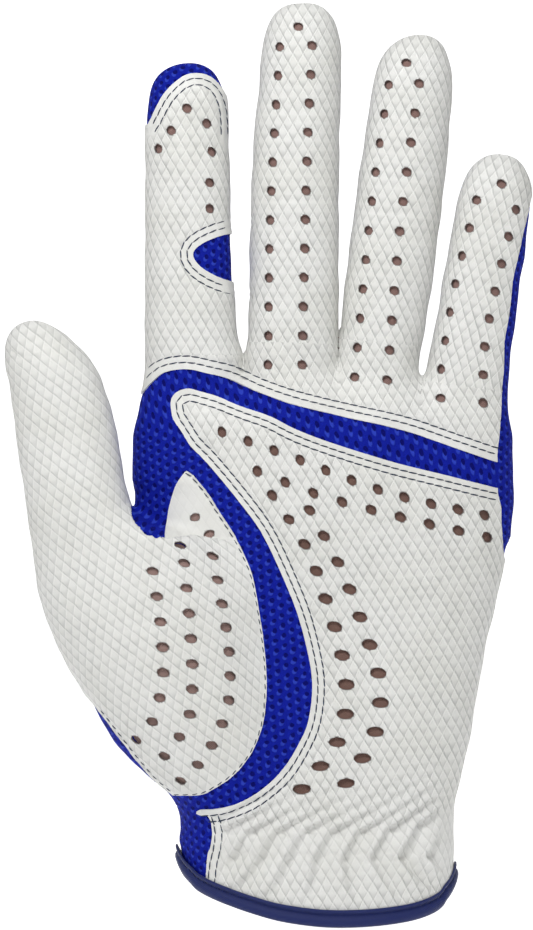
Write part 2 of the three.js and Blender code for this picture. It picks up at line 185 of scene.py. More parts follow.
BAND_TOP = [
    (-50, 127), (-43.8, 133.5), (-41.3, 136), (-38.7, 138), (-35.2, 138.8), (-31.7, 138.8),
    (-27.9, 137.9), (-21.5, 136.4), (-15.1, 133.3), (-5.6, 130), (7.5, 126.8), (21.5, 123.6),
    (33.8, 119.4), (44.3, 115.9), (54, 113.5),
]
PATCH_EDGE = [
    (54, 107.5), (45, 109.2), (32, 112.4), (18, 115.9), (3, 120.6), (-5.6, 123.9), (-11.9, 127.1),
    (-18.3, 129.4), (-24.7, 132), (-29.8, 133.5), (-32.5, 134.1), (-35.2, 133.3), (-36.6, 131.6),
    (-36.8, 129.4), (-36.2, 126.5), (-34.3, 123.6), (-31.7, 119.5), (-27.9, 115.7), (-19.9, 106.1),
    (-13.6, 97.2), (-7.3, 83.5), (-4.2, 74.8), (-1.9, 64.6), (-1.6, 58), (-2.7, 51), (-5, 45.7),
    (-8.5, 40), (-12.7, 35.8), (-17.9, 32.3), (-24.3, 29.9), (-29.5, 29.3),
]
WRIST_EDGE = [(-30.9, 28.7), (-29.5, 27.9), (-27.4, 27.6), (-26.5, 24), (-26.9, 20), (-27.8, 16.3),
              (-29, -4)]
CRESCENT_LEFT = [
    (-33.1, 113.6), (-31, 112.1), (-27.3, 107.4), (-24.9, 103.5), (-21.7, 98.6), (-19.3, 94.4),
    (-16.8, 88.8), (-15.4, 83.2), (-13.6, 71.6), (-12.8, 62.2), (-13.3, 53), (-14.8, 47.4),
    (-17.3, 42.5), (-21.4, 37.9), (-26, 34.8), (-29.5, 33.2), (-36.5, 32.6), (-48, 31.5),
]
THUMB_BASE = [(-37, 32.9), (-41.4, 36.9), (-45.6, 41.9), (-50, 47.6), (-55.5, 54.5), (-61, 60)]
FOLD = [(-46.6, 105), (-46.2, 102), (-44.5, 99.7), (-42, 97.6), (-37.5, 97), (-30, 97.1), (-20.6, 96.4)]
WEB_LEFT = [(-37.3, 94), (-37.8, 98.5), (-37.9, 101.9), (-37.1, 105.8), (-35.5, 110.2), (-33.1, 113.6)]
CAP_EDGE = [(-50, 200.2), (-43.2, 200.4), (-42.5, 201), (-38.7, 207.7), (-34, 212.1), (-30.7, 213),
            (-27, 212.4), (-24.2, 210.2), (-22.2, 206.5), (-21.4, 202), (-21.3, 197)]
INSET_EDGE = [(-16, 173.8), (-22.4, 172.8), (-26.5, 171.4), (-29.8, 169.6), (-31.2, 167.6), (-30, 165.2),
              (-27, 163), (-22.4, 161.2), (-16, 160.2)]
ULNAR_EDGE = [
    (54, 184), (53.2, 180), (52.1, 175.6), (49.9, 166.6), (48.7, 159.9), (47.75, 152), (46.8, 146.5),
    (46.6, 141.7), (46.1, 134.5), (45.75, 127.5), (45.0, 119.8), (44.9, 109), (45.75, 104.7),
    (46.1, 99.4), (46.9, 92), (50, 84),
]
HEM = [
    (-60, 10), (-34.6, 9.9), (-29.3, 8.5), (-23.2, 6.3), (-16.6, 4.1), (-8.9, 2.1), (1.3, 0.8),
    (11.5, 0.8), (21.7, 1.8), (29.4, 3.7), (34.4, 5.4), (60, 5.6),
]
SIDE_ARCHES = (5.6, 5.8)    # how much higher the hem runs over the thumb side and the little finger side
ARCH_DEPTH = 7.5
BINDING_HEIGHT = 4.2
SLIT = [(-1.5, 52), (-3.4, 50), (-4.6, -20), (1.6, -20), (0.4, 50)]
SLIT_FACING = [(-1.5, 54.5), (-4.2, 53.6), (-6.0, 51), (-7.4, 5), (4.4, 5), (3.0, 51), (1.2, 53.6)]
# Lower edges of the leather over the knuckles and on the thumb's back.
KNUCKLE_EDGE = [(-60, 112), (-20, 118), (10, 116), (34, 108), (70, 104)]
THUMB_BACK_EDGE = [(-110, 66), (-60, 70), (-50, 78), (-46, 92), (-46.3, 104), (-48.2, 120)]

# Rows of perforations: number of holes, then the points that the row passes through.
ROWS = {
    "middle": [
        (12, [(-9.7, 219.5), (-12, 179), (-12.6, 140)]),
        (12, [(-1.5, 219.7), (-2.8, 190), (-4, 140)]),
        (1, [(-5, 224.5)]),
    ],
    "ring": [
        (11, [(17.5, 210), (13.2, 180), (9, 137)]),
        (11, [(25.2, 210.2), (20.6, 176), (17.2, 136.2)]),
        (1, [(22, 215.5)]),
    ],
    "little": [
        (1, [(45.75, 185.25)]),
        (8, [(39.5, 181.2), (34.2, 160.5), (30.7, 140), (30.5, 131.8)]),
        (8, [(49.5, 178.8), (45.7, 164.7), (41.6, 145), (41.2, 130.5)]),
    ],
    "index": [
        (1, [(-32.75, 204)]), (1, [(-27.75, 200.25)]), (1, [(-36.75, 198.5)]), (1, [(-40, 194)]),
        (1, [(-26.5, 193.25)]), (1, [(-27, 185.5)]), (1, [(-27, 179)]),
    ],
    "palm": [
        (11, [(-24, 123.2), (-6, 116.8), (7.2, 111.6), (21.2, 107), (41.5, 102.5)]),
        (9, [(-15.2, 113.5), (1.2, 107.2), (21.5, 101.8), (42.2, 97)]),
        (12, [(-11.5, 107.5), (-3, 94.5), (2.2, 80.5), (6.2, 66.2), (6.8, 55), (4.5, 46), (-4.2, 34.8)]),
        (11, [(-2.2, 103.8), (5.2, 90), (10.8, 75.8), (15.2, 61.2), (13.8, 48), (6.8, 36.2)]),
    ],
    "thumb": [
        (8, [(-41, 88.8), (-39, 75.5), (-38.5, 62), (-41.5, 50.8), (-45.2, 47)]),
        (9, [(-33.2, 90.8), (-32, 78.2), (-31.2, 65), (-32.2, 52), (-38.2, 43)]),
        (11, [(-26.2, 92.5), (-23.8, 80.5), (-22, 67.5), (-22.5, 55), (-27.8, 43.5), (-34.2, 36.8)]),
    ],
    "fold": [(1, [(-34.2, 95.2)])],
    "web": [(1, [(-30.75, 102)]), (1, [(-27.2, 97.9)])],
}
# Their shape: height, tilt of the long axis in degrees, half length and half width.
HOLE_SHAPES = {
    "finger": [(0, -30, 1.22, 1.08)],
    "web": [(0, 16, 1.3, 0.9)],
    "fold": [(0, -10, 1.5, 0.8)],
    "thumb": [(40, -8, 1.4, 1.0), (70, -6, 1.55, 1.12), (92, -12, 1.5, 0.95)],
    "palm": [(36, 5, 2.15, 1.1), (60, -4, 2.05, 1.3), (84, -18, 1.72, 1.22), (103, -34, 1.45, 1.12),
             (112, -62, 1.38, 1.06), (124, -72, 1.34, 1.02)],
}

# ------------------------------------------------------------------ small curve tools


def spline(points, steps=8):
    """Points along a smooth open curve through the given ones."""
    p = np.array(points, float)
    if len(p) < 3:
        return p
    p = np.vstack([2 * p[0] - p[1], p, 2 * p[-1] - p[-2]])
    t = np.arange(steps)[:, None] / steps
    parts = []
    for a, b, c, d in zip(p[:-3], p[1:-2], p[2:-1], p[3:]):
        parts.append(0.5 * (2 * b + (c - a) * t + (2 * a - 5 * b + 4 * c - d) * t ** 2
                            + (3 * b - a - 3 * c + d) * t ** 3))
    return np.vstack(parts + [p[-2:-1]])


def evenly(points, count):
    """That many points at equal distances along a polyline, from its first point to its last."""
    p = np.asarray(points, float)
    if count == 1:
        return p[:1]
    run = runs(p)
    at = np.linspace(0, run[-1], count)
    return np.stack([np.interp(at, run, p[:, k]) for k in range(p.shape[1])], 1)


def beside(points, distance):
    """A polyline moved sideways, to its left for a positive distance, without the loops of tight bends."""
    p = evenly(points, max(8, int(runs(points)[-1] / 0.6)))
    along = np.gradient(p, axis=0)
    along /= np.linalg.norm(along, axis=1)[:, None]
    moved = p + distance * np.stack([-along[:, 1], along[:, 0]], 1)
    clear = distance_to(moved, p) > abs(distance) * 0.96
    return moved[clear]


def distance_to(points, line):
    """Distance of each point to a polyline, in the plane."""
    a, b = np.asarray(line[:-1], float), np.asarray(line[1:], float)
    step = b - a
    size = np.maximum((step ** 2).sum(1), 1e-12)
    out = np.full(len(points), 1e9)
    for start in range(0, len(points), 20000):
        q = points[start:start + 20000, None, :]
        t = np.clip(((q - a) * step).sum(2) / size, 0, 1)
        out[start:start + 20000] = np.sqrt((((a + t[..., None] * step) - q) ** 2).sum(2).min(1))
    return out


def inside(points, outline):
    """Signed distance to a closed outline: negative within it."""
    loop = np.vstack([outline, outline[:1]])
    flat = distance_to(points, loop)
    odd = np.zeros(len(points), bool)
    for (ax, ay), (bx, by) in zip(loop[:-1], loop[1:]):
        if ay == by:
            continue
        crosses = (points[:, 1] >= min(ay, by)) & (points[:, 1] < max(ay, by))
        odd ^= crosses & (points[:, 0] < ax + (points[:, 1] - ay) * (bx - ax) / (by - ay))
    return np.where(odd, -flat, flat)


def runs(line):
    """Distance along a polyline to each of its points."""
    return np.concatenate([[0], np.cumsum(np.linalg.norm(np.diff(line, axis=0), axis=1))])


def smoothstep(x, low, high):
    """A smooth step from 0 at low to 1 at high."""
    t = np.clip((x - low) / (high - low), 0, 1)
    return t * t * (3 - 2 * t)


def hermite(knots, values, at):
    """Smooth interpolation that never overshoots its knots."""
    knots, values = np.asarray(knots, float), np.asarray(values, float)
    h, rise = np.diff(knots), np.diff(values)
    slope = rise / h
    product, total = slope[:-1] * slope[1:], slope[:-1] + slope[1:]
    inner = np.where(product > 0, 2 * product / np.where(total == 0, 1, total), 0)
    m = np.concatenate([slope[:1], inner, slope[-1:]])
    at = np.clip(at, knots[0], knots[-1])
    k = np.clip(np.searchsorted(knots, at, side="right") - 1, 0, len(h) - 1)
    t = (at - knots[k]) / h[k]
    return ((1 + 2 * t) * (1 - t) ** 2 * values[k] + t * (1 - t) ** 2 * h[k] * m[k]
            + t ** 2 * (3 - 2 * t) * values[k + 1] + t ** 2 * (t - 1) * h[k] * m[k + 1])


HEM_LINE = spline(HEM)


def hem_height(x, y):
    """Height of the hem, which arches over both sides of the wrist."""
    arch = np.where(x < 0, *SIDE_ARCHES) * smoothstep(np.abs(x), 22, 32) * np.exp(-(y / ARCH_DEPTH) ** 2)
    return np.interp(x, HEM_LINE[:, 0], HEM_LINE[:, 1]) + arch


# ------------------------------------------------------------------ limbs

FINGERS = ("index", "middle", "ring", "little")
ROWS_OF = {"palm": PALM, "thumb": THUMB}
for limb, rows in zip(FINGERS, (INDEX, MIDDLE, RING, LITTLE)):
    ROWS_OF[limb] = [(z, low, high, -deep, deep) for z, low, high, deep in rows]


def section(limb, z):
    """Middle and half sizes of a limb's section at each height."""
    rows = np.array(ROWS_OF[limb], float)
    low, high, front, back = (hermite(rows[:, 0], rows[:, k], z) for k in (1, 2, 3, 4))
    start, height, _, shift = DOMES[limb]
    middle = (low + high) / 2 + shift * np.clip((z - start) / height, 0, 1)
    return middle, (front + back) / 2, (high - low) / 2, (back - front) / 2


def limb_field(limb, x, y, z):
    """About the distance from a limb's surface, negative inside. x, y and z broadcast together."""
    cx, cy, a, b = section(limb, z)
    start, height, full, _ = DOMES[limb]
    over = np.maximum(z - start, 0)
    dx, dy = x - cx, y - cy
    flat = np.abs(dx / a) ** ROUNDNESS + np.abs(dy / b) ** ROUNDNESS
    r = (flat ** (full / ROUNDNESS) + (over / height) ** full) ** (1 / full)
    reach = np.sqrt(dx ** 2 + dy ** 2 + over ** 2)
    field = reach * (1 - 1 / np.maximum(r, 1e-3))
    return np.maximum(field, ROWS_OF[limb][0][0] - z)


def pads(x, z):
    """How far the pads of the palm stand out."""
    return sum(rise * np.exp(-((x - cx) / wx) ** 2 - ((z - cz) / wz) ** 2) for cx, cz, wx, wz, rise in PADS)


def soft_min(a, b, k):
    """The smaller of two distances, rounded over a width k where they are about equal."""
    h = np.clip(0.5 + 0.5 * (b - a) / k, 0, 1)
    return b * (1 - h) + a * h - k * h * (1 - h)


LOW = np.array([-86.0, -31.0, -14.0])
HIGH = np.array([60.0, 29.0, 238.0])
FAR = 6.0
WEB_MELT = 0.9              # softness of the webs between the fingers
KNUCKLE_MELT = 5.0
THUMB_MELT = (7.0, 3.2)     # below the thumb's fold and above it


def hand_grid():
    """The whole hand as a distance field on a grid."""
    axes = [np.arange(LOW[k], HIGH[k], VOXEL) for k in range(3)]
    shape = [len(a) for a in axes]

    def block(limb, margin=5.0):
        rows = np.array(ROWS_OF[limb], float)
        top = DOMES[limb][0] + DOMES[limb][1]
        lows = (rows[:, 1].min() - margin - 6, rows[:, 3].min() - margin, rows[:, 0].min() - margin)
        highs = (rows[:, 2].max() + margin, rows[:, 4].max() + margin, top + margin)
        where = tuple(slice(max(0, int((l - LOW[k]) / VOXEL)), min(shape[k], int((h - LOW[k]) / VOXEL) + 1))
                      for k, (l, h) in enumerate(zip(lows, highs)))
        x, y, z = (axes[0][where[0]][:, None, None], axes[1][where[1]][None, :, None],
                   axes[2][where[2]][None, None, :])
        field = limb_field(limb, x, y, z)
        steep = np.sqrt(sum(g ** 2 for g in np.gradient(field, VOXEL)))
        field = field / np.clip(steep, 0.35, 3)
        if limb == "palm":
            field = field - pads(x, z) * smoothstep(-y, 2, 9)
        out = np.full(shape, FAR, np.float32)
        out[where] = np.minimum(field, FAR)
        return out

    whole = block("middle")
    for limb in ("ring", "index", "little"):
        whole = soft_min(whole, block(limb), WEB_MELT)
    whole = soft_min(whole, block("palm"), KNUCKLE_MELT)
    share = smoothstep(axes[2], 84, 98)[None, None, :]
    return soft_min(whole, block("thumb"), THUMB_MELT[0] * (1 - share) + THUMB_MELT[1] * share)


# ------------------------------------------------------------------ skin

# A skin is its vertices (place, normal, place before the relief) and its triangles.


def vertex_normals(points, faces):
    """Normals at the points, weighted by the sizes of their triangles."""
    a, b, c = points[faces[:, 0]], points[faces[:, 1]], points[faces[:, 2]]
    flat = np.cross(b - a, c - a)
    out = np.zeros_like(points)
    for k in range(3):
        for j in range(3):
            out[:, j] += np.bincount(faces[:, k], flat[:, j], len(points))
    return out / np.maximum(np.linalg.norm(out, axis=1), 1e-12)[:, None]


def whole_skin():
    """The smooth surface of the whole glove: its points, normals and triangles."""
    field = hand_grid()
    grid = openvdb.FloatGrid(FAR)
    grid.copyFromArray(field.astype(np.float32))
    points, triangles, quads = grid.convertToPolygons(isovalue=FULLNESS)
    points = points.astype(float) * VOXEL + LOW
    faces = np.vstack([triangles.reshape(-1, 3), quads[:, [0, 1, 2]], quads[:, [0, 2, 3]]]).astype(np.int64)
    normals = vertex_normals(points, faces)
    tip = points[:, 2].argmax()
    if normals[tip, 2] < 0:
        faces = faces[:, ::-1]
        normals = -normals
    return points, normals, faces


def seam_lines():
    """Every stitched line on the palm side, as polylines in the plane, by name."""
    wrist = WRIST_EDGE[2:6] + [(-28.6, 9)]
    doubled = {
        "bridge": (spline(BAND_TOP)[4:], 1.7, 3.3),
        "palm": (spline(PATCH_EDGE), 1.4, 3.0),
        "index_cap": (spline(CAP_EDGE), -1.4, -3.0),
        "index_inset": (spline(INSET_EDGE), -1.7, -3.3),
        "wrist": (spline(wrist), 0.9, 2.6),
    }
    lines = {name: [beside(edge, near), beside(edge, far)] for name, (edge, near, far) in doubled.items()}
    lines["thumb"] = [beside(spline(CRESCENT_LEFT), -0.45), beside(spline(THUMB_BASE)[:-8], -0.9)]
    return lines


SEAMS = seam_lines()


RISING = 0.78               # share of a fold over which it rises


def pleat(phase):
    """A fold that rises slowly and drops steeply, from -1 to 1."""
    part = phase % 1
    level = np.where(part < RISING, part / RISING, (1 - part) / (1 - RISING))
    return 2 * smoothstep(level, -0.15, 1.15) - 1


UPPER_ROW, LOWER_ROW = 24.0, 18.0       # heights of the two rows of gathers
PLEAT_PITCH = 6.9
PLEAT_RISE, ROW_DEPTH = 1.15, 0.7
ROW_WIDTH = 0.8
ROW_SWING = 1.1             # the rows zigzag this far up and down
GATHERED_SMOOTH = 0.5       # how far the gathers stretch the scales flat


def upper_row(x):
    """Height of the upper gathers, which climb towards the little finger's side."""
    return UPPER_ROW + 0.05 * np.maximum(x - 12, 0) ** 1.4


def shirring(x, z):
    """Gathers of the palm leather over the two elastic tapes."""
    upper = upper_row(x)
    across = smoothstep(x, -27, -19) * (1 - smoothstep(x, 27, 32.5))
    phase_between = (x - 0.6 * (z - LOWER_ROW)) / PLEAT_PITCH
    phase_above = (x - 1.9 * (z - upper) - 0.6 * (upper - LOWER_ROW)) / PLEAT_PITCH
    fan = np.interp(x, [-24, -4, 6, 28], [0.75, 0.25, -0.1, -0.8])
    phase_below = (x + fan * (LOWER_ROW - z) * 1.2) / PLEAT_PITCH
    above = smoothstep(z, upper - 0.5, upper + 0.5)
    below = 1 - smoothstep(z, LOWER_ROW - 0.5, LOWER_ROW + 0.5)
    wave = (pleat(phase_above) * above * np.exp(-np.maximum(z - upper, 0) / 6.5)
            + pleat(phase_between) * (1 - above) * (1 - below)
            + pleat(phase_below) * below * (1 - 0.55 * smoothstep(LOWER_ROW - z, 3, 13)))
    zigzag = ROW_SWING * pleat(x / PLEAT_PITCH + 0.2)
    pinch = sum(np.exp(-((z - row - zigzag) / ROW_WIDTH) ** 2) for row in (upper, LOWER_ROW))
    return across * (PLEAT_RISE * wave - ROW_DEPTH * pinch)


def wrinkles(x, y, z):
    """Low, broad unevenness of the filled glove."""
    broad = (np.sin(0.31 * x + 0.17 * z + 1.3) * np.sin(0.23 * z - 0.12 * x + 0.4)
             + 0.6 * np.sin(0.52 * x - 0.33 * z + 2.1) * np.sin(0.41 * z + 0.2 * y))
    return 0.16 * broad


SMALL_CREASES = [
    [(-76.5, 143.6), (-75, 142.2), (-73, 141.7), (-70.2, 142.2)],
    [(-46, 104), (-45.4, 99.5), (-44.6, 97.8), (-39.5, 98.6)],
]
JOINT_LINES = {"index": (176, 194), "middle": (181, 204), "ring": (178, 199), "little": (160, 175)}
GROOVE_DEPTH, GROOVE_WIDTH = 0.2, 0.55          # along the stitches
CREASE_DEPTH, CREASE_WIDTH = 0.35, 0.6
JOINT_DEPTH, JOINT_WIDTH, JOINT_BOW = 0.22, 0.9, 0.8
LIP_RISE, LIP_HOLLOW = 0.6, 0.7                 # of the thumb's fold, below and above its line


def relief(points, normals):
    """How far the skin stands out or in at each point: stitched grooves, gathers and creases."""
    x, y, z = points.T
    front = normals[:, 1] < 0
    out = wrinkles(x, y, z)
    near = np.flatnonzero(front)
    plane = points[near][:, [0, 2]]
    groove = np.zeros(len(near))
    for lines in SEAMS.values():
        for line in lines:
            box = ((plane > line.min(0) - 3) & (plane < line.max(0) + 3)).all(1)
            away = distance_to(plane[box], line)
            groove[box] = np.maximum(groove[box], np.exp(-(away / GROOVE_WIDTH) ** 2))
    out[near] -= GROOVE_DEPTH * groove
    facing = smoothstep(-normals[:, 1], 0.05, 0.6)
    out += shirring(x, z) * facing * (z < 45)
    out *= smoothstep(z - hem_height(x, y), BINDING_HEIGHT - 0.5, BINDING_HEIGHT + 3.5)
    fold = spline(FOLD)
    lip = np.interp(x, fold[:, 0], fold[:, 1])
    under = lip - z
    on_lip = smoothstep(x, -50, -44) * (1 - smoothstep(x, -24, -19)) * facing * (z > 70) * (z < 115)
    out += on_lip * np.where(under > 0, LIP_RISE * np.exp(-under / 4), -LIP_HOLLOW * np.exp(under / 3.5))
    for line in map(spline, SMALL_CREASES):
        close = near[((plane > line.min(0) - 3) & (plane < line.max(0) + 3)).all(1)]
        away = distance_to(points[close][:, [0, 2]], line)
        out[close] -= CREASE_DEPTH * np.exp(-(away / CREASE_WIDTH) ** 2)
    for limb, places in JOINT_LINES.items():
        k = FINGERS.index(limb)
        low = gap_at(k, z) if k else -60.0
        high = gap_at(k + 1, z) if k < 3 else 60.0
        cx, _, a, _ = section(limb, z)
        mine = (x > low) & (x < high) & front
        for place in places:
            bow = place + JOINT_BOW * ((x - cx) / a) ** 2
            dent = np.exp(-((z - bow) / JOINT_WIDTH) ** 2)
            out -= mine * JOINT_DEPTH * dent * smoothstep(a - np.abs(x - cx), 1, 5)
    return out


def relieved_skin():
    """The skin with its relief."""
    points, normals, faces = whole_skin()
    moved = points + normals * relief(points, normals)[:, None]
    normals = vertex_normals(moved, faces)
    return np.hstack([moved, normals, points]), faces


def clip(skin, value):
    """The part of a skin where a value of the places before the relief is negative."""
    rows, faces = skin
    v = np.asarray(value(rows[:, 6:9]), float)
    v = np.where(np.abs(v) < SNAP, 0.0, v)
    s = np.sign(v).astype(int)[faces]
    more, less = (s > 0).sum(1), (s < 0).sum(1)
    kept = [faces[(more == 0) & (less > 0)]]
    pairs = []

    def turned(mask, first):
        order = (first[mask][:, None] + np.arange(3)) % 3
        return np.take_along_axis(faces[mask], order, 1)

    lone_in = turned((less == 1) & (more == 2), s.argmin(1))
    lone_out = turned((less == 2) & (more == 1), s.argmax(1))
    on_line = turned((less == 1) & (more == 1), np.abs(s).argmin(1))
    second_in = v[on_line[:, 1]] < 0
    for a, b in ((lone_in[:, 0], lone_in[:, 1]), (lone_in[:, 0], lone_in[:, 2]),
                 (lone_out[:, 0], lone_out[:, 1]), (lone_out[:, 0], lone_out[:, 2]),
                 (on_line[:, 1], on_line[:, 2])):
        pairs.append(np.stack([np.minimum(a, b), np.maximum(a, b)], 1))
    sizes = np.cumsum([0] + [len(p) for p in pairs])
    unique, index = np.unique(np.vstack(pairs), axis=0, return_inverse=True)
    index = index.reshape(-1)
    cuts = [index[sizes[k]:sizes[k + 1]] + len(rows) for k in range(5)]
    t = v[unique[:, 0]] / (v[unique[:, 0]] - v[unique[:, 1]])
    new = rows[unique[:, 0]] * (1 - t)[:, None] + rows[unique[:, 1]] * t[:, None]
    kept.append(np.stack([lone_in[:, 0], cuts[0], cuts[1]], 1))
    kept.append(np.stack([cuts[2], lone_out[:, 1], lone_out[:, 2]], 1))
    kept.append(np.stack([cuts[2], lone_out[:, 2], cuts[3]], 1))
    kept.append(np.where(second_in[:, None], np.stack([on_line[:, 0], on_line[:, 1], cuts[4]], 1),
                         np.stack([on_line[:, 0], cuts[4], on_line[:, 2]], 1)))
    return packed(np.vstack([rows, new]), np.vstack(kept))


def packed(rows, faces):
    """The same skin without the vertices that no triangle uses."""
    used, index = np.unique(faces, return_inverse=True)
    rows = rows[used].copy()
    rows[:, 3:6] /= np.maximum(np.linalg.norm(rows[:, 3:6], axis=1), 1e-9)[:, None]
    return rows, index.reshape(-1, 3)


def without_crumbs(skin, share=0.04):
    """Drops the islands that are much smaller than the largest one."""
    rows, faces = skin
    if not len(faces):
        return skin
    label = np.arange(len(rows))
    while True:
        low = label[faces].min(1)
        new = label.copy()
        for k in range(3):
            np.minimum.at(new, faces[:, k], low)
        new = new[new]
        if (new == label).all():
            break
        label = new
    names, counts = np.unique(label[faces[:, 0]], return_counts=True)
    good = names[counts > share * counts.max()]
    return packed(rows, faces[np.isin(label[faces[:, 0]], good)])


# ------------------------------------------------------------------ regions

# A region is a value of the places before the relief, negative inside it.


def plane_of(b):
    """The places across and up, as seen from the palm."""
    return b[:, [0, 2]]


def within(outline, grown=0.0):
    """The region inside an outline, seen from the palm, grown by a distance."""
    outline = np.array(outline, float)
    return lambda b: inside(plane_of(b), outline) - grown


def outside(outline):
    """The region outside an outline."""
    outline = np.array(outline, float)
    return lambda b: -inside(plane_of(b), outline)


def gap_at(k, z):
    """Place across of the gap between two limbs, at each height."""
    rows = np.array(GAPS[k], float)
    return np.interp(z, rows[:, 0], rows[:, 1])


def finger_column(x, z):
    """Which finger's column a place below the fingers belongs to, counted from the index finger."""
    return sum((x > gap_at(k, z)).astype(int) for k in (1, 2, 3))


def crease_height(limb, b):
    """Height above a joint's crease, along the finger."""
    x, z, lean = CREASES[limb]
    lean = math.radians(lean)
    return (b[:, 0] - x) * math.sin(lean) + (b[:, 2] - z) * math.cos(lean)


def on_limb(limb):
    """The part of a finger or the thumb that bends away from the hand."""
    def value(b):
        x, z = b[:, 0], b[:, 2]
        k = ("thumb", *FINGERS).index(limb)
        parts = [-(crease_height(limb, b) + BEND)]
        if k > 0:
            parts.append(gap_at(k - 1, z) - x)
        if k < 4:
            parts.append(x - gap_at(k, z))
        return np.max(parts, axis=0)
    return value


def on_hand(b):
    """The part that stays when the fingers and the thumb bend."""
    x, z = b[:, 0], b[:, 2]
    out = np.full(len(b), -50.0)
    column = finger_column(x, z)
    thumb = (x < gap_at(0, z)) & (z > 99)
    for k, limb in enumerate(FINGERS):
        mine = (column == k) & ~thumb
        out[mine] = crease_height(limb, b[mine]) + BEND
    out[thumb] = crease_height("thumb", b[thumb]) + BEND
    return out


STRIP_HALF = 2.75
STRIP_TOP = {"index": 205, "middle": 219, "ring": 212, "little": 184}
PARTING_STEP = 8.0          # the thumb's seam lies this far in front of the hand's
PARTING_WRAP = 4.5          # the gore wraps this far round the side beside the thumb's fold


def strip_half(limb, z):
    """Half width of a finger's side strip. It runs out in a point below the tip."""
    return STRIP_HALF * np.sqrt(np.clip((STRIP_TOP[limb] - z) / 25, 0, 1))


def parting(b):
    """How far a place lies behind the line where palm side and back meet."""
    x, y, z = b.T
    wrap = PARTING_WRAP * smoothstep(z, 96, 103) * (1 - smoothstep(z, 131, 138)) * smoothstep(-x, 25, 35)
    return y + PARTING_STEP * smoothstep(-x, 46.5, 54) - wrap * (1 - smoothstep(-x, 46.5, 49))


def palm_side(grown=0.0):
    """The region in front of the parting, grown by a distance."""
    return lambda b: parting(b) - grown


def back_side():
    """The region behind the parting."""
    return lambda b: -parting(b)


def above_hem(rise):
    """The region that starts this far above the hem."""
    return lambda b: hem_height(b[:, 0], b[:, 1]) + rise - b[:, 2]


BRIDGE_OUTLINE = np.vstack([spline(BAND_TOP), [(60, 113), (60, 260), (-60, 260), (-60, 120)]])
PALM_OUTLINE = np.vstack([spline(PATCH_EDGE), spline(WRIST_EDGE), [(-29, -20), (70, -20), (70, 106)]])
CRESCENT_LINE = spline(CRESCENT_LEFT)
THUMB_OUTLINE = np.vstack([
    [(-53, 170), (-48.4, 120)], spline(FOLD), CRESCENT_LINE[38:-8], spline(THUMB_BASE),
    [(-110, 66), (-110, 170)],
])
WEB_OUTLINE = np.vstack([spline(WEB_LEFT), CRESCENT_LINE[1:42]])
ULNAR_OUTLINE = np.vstack([spline(ULNAR_EDGE), [(90, 84), (90, 184)]])
CAP_OUTLINE = np.vstack([spline(CAP_EDGE), [(-18, 230), (-60, 230), (-60, 200)]])
INSET_OUTLINE = spline(INSET_EDGE)
WRIST_OUTLINE = np.vstack([
    [(-29.5, 30.5), (-30.9, 29.6)], spline(WRIST_EDGE), [(-29, -20), (-80, -20), (-80, 30.5)],
])
KNUCKLE_OUTLINE = np.array(KNUCKLE_EDGE + [(70, 260), (-60, 260)], float)
THUMB_BACK_OUTLINE = np.array(THUMB_BACK_EDGE + [(-53, 170), (-110, 170)], float)

# ------------------------------------------------------------------ pattern coordinates

QUARTER = 48


def arc_lengths():
    """Arc length from the middle of the face, for a section of unit half width and each depth ratio."""
    ratios = np.linspace(0.15, 1.6, 30)
    t = np.linspace(0, np.pi / 2, QUARTER + 1)
    x = np.sin(t) ** (2 / ROUNDNESS)
    y = np.cos(t) ** (2 / ROUNDNESS)
    steps = np.sqrt(np.diff(x)[None] ** 2 + (ratios[:, None] * np.diff(y)[None]) ** 2)
    return ratios, np.hstack([np.zeros((len(ratios), 1)), np.cumsum(steps, axis=1)])


ARC_RATIOS, ARCS = arc_lengths()


def around(limb, b, back):
    """Distance across the panel, measured round the limb from the middle of its face."""
    x, y, z = b.T
    cx, cy, wide, deep = section(limb, z)
    dx, dy = x - cx, y - cy
    size = (np.abs(dx / wide) ** ROUNDNESS + np.abs(dy / deep) ** ROUNDNESS) ** (1 / ROUNDNESS)
    t = np.arctan2(np.abs(dx / wide) ** (ROUNDNESS / 2), np.abs(dy / deep) ** (ROUNDNESS / 2))
    row = (deep / wide - ARC_RATIOS[0]) / (ARC_RATIOS[1] - ARC_RATIOS[0])
    row = np.clip(row, 0, len(ARC_RATIOS) - 1.001)
    k = row.astype(int)
    share = row - k
    at = np.clip(t / (np.pi / 2) * QUARTER, 0, QUARTER - 1e-6)
    j = at.astype(int)
    f = at - j
    arc = ((1 - share) * ((1 - f) * ARCS[k, j] + f * ARCS[k, j + 1])
           + share * ((1 - f) * ARCS[k + 1, j] + f * ARCS[k + 1, j + 1]))
    quarter = (1 - share) * ARCS[k, -1] + share * ARCS[k + 1, -1]
    far = dy < 0 if back else dy > 0
    arc = np.where(far, 2 * quarter - arc, arc) * wide * size
    return cx + np.sign(dx) * arc


def pattern_of(limb, b, back=False):
    """Pattern coordinates across and up, in millimetres."""
    if limb == "gore":
        # The band's knit is pulled towards the little finger, which turns its openings into slanted slots.
        above = b[:, 2] + 0.33 * b[:, 0] - 110
        pull = smoothstep(above, -6, 6) * above
        return np.stack([around("palm", b, back) + 0.33 * pull, b[:, 2] - 0.42 * pull], 1)
    across = around(limb if limb != "hand" else "palm", b, back)
    if limb == "hand":
        x, z = b[:, 0], b[:, 2]
        column = finger_column(x, z)
        for k, finger in enumerate(FINGERS):
            mine = (column == k) & (z > 110)
            if mine.any():
                w = smoothstep(crease_height(finger, b[mine]), -BEND - 15, -BEND - 2)
                across[mine] = (1 - w) * across[mine] + w * around(finger, b[mine], back)
    return np.stack([across, b[:, 2]], 1)


# ------------------------------------------------------------------ meshes


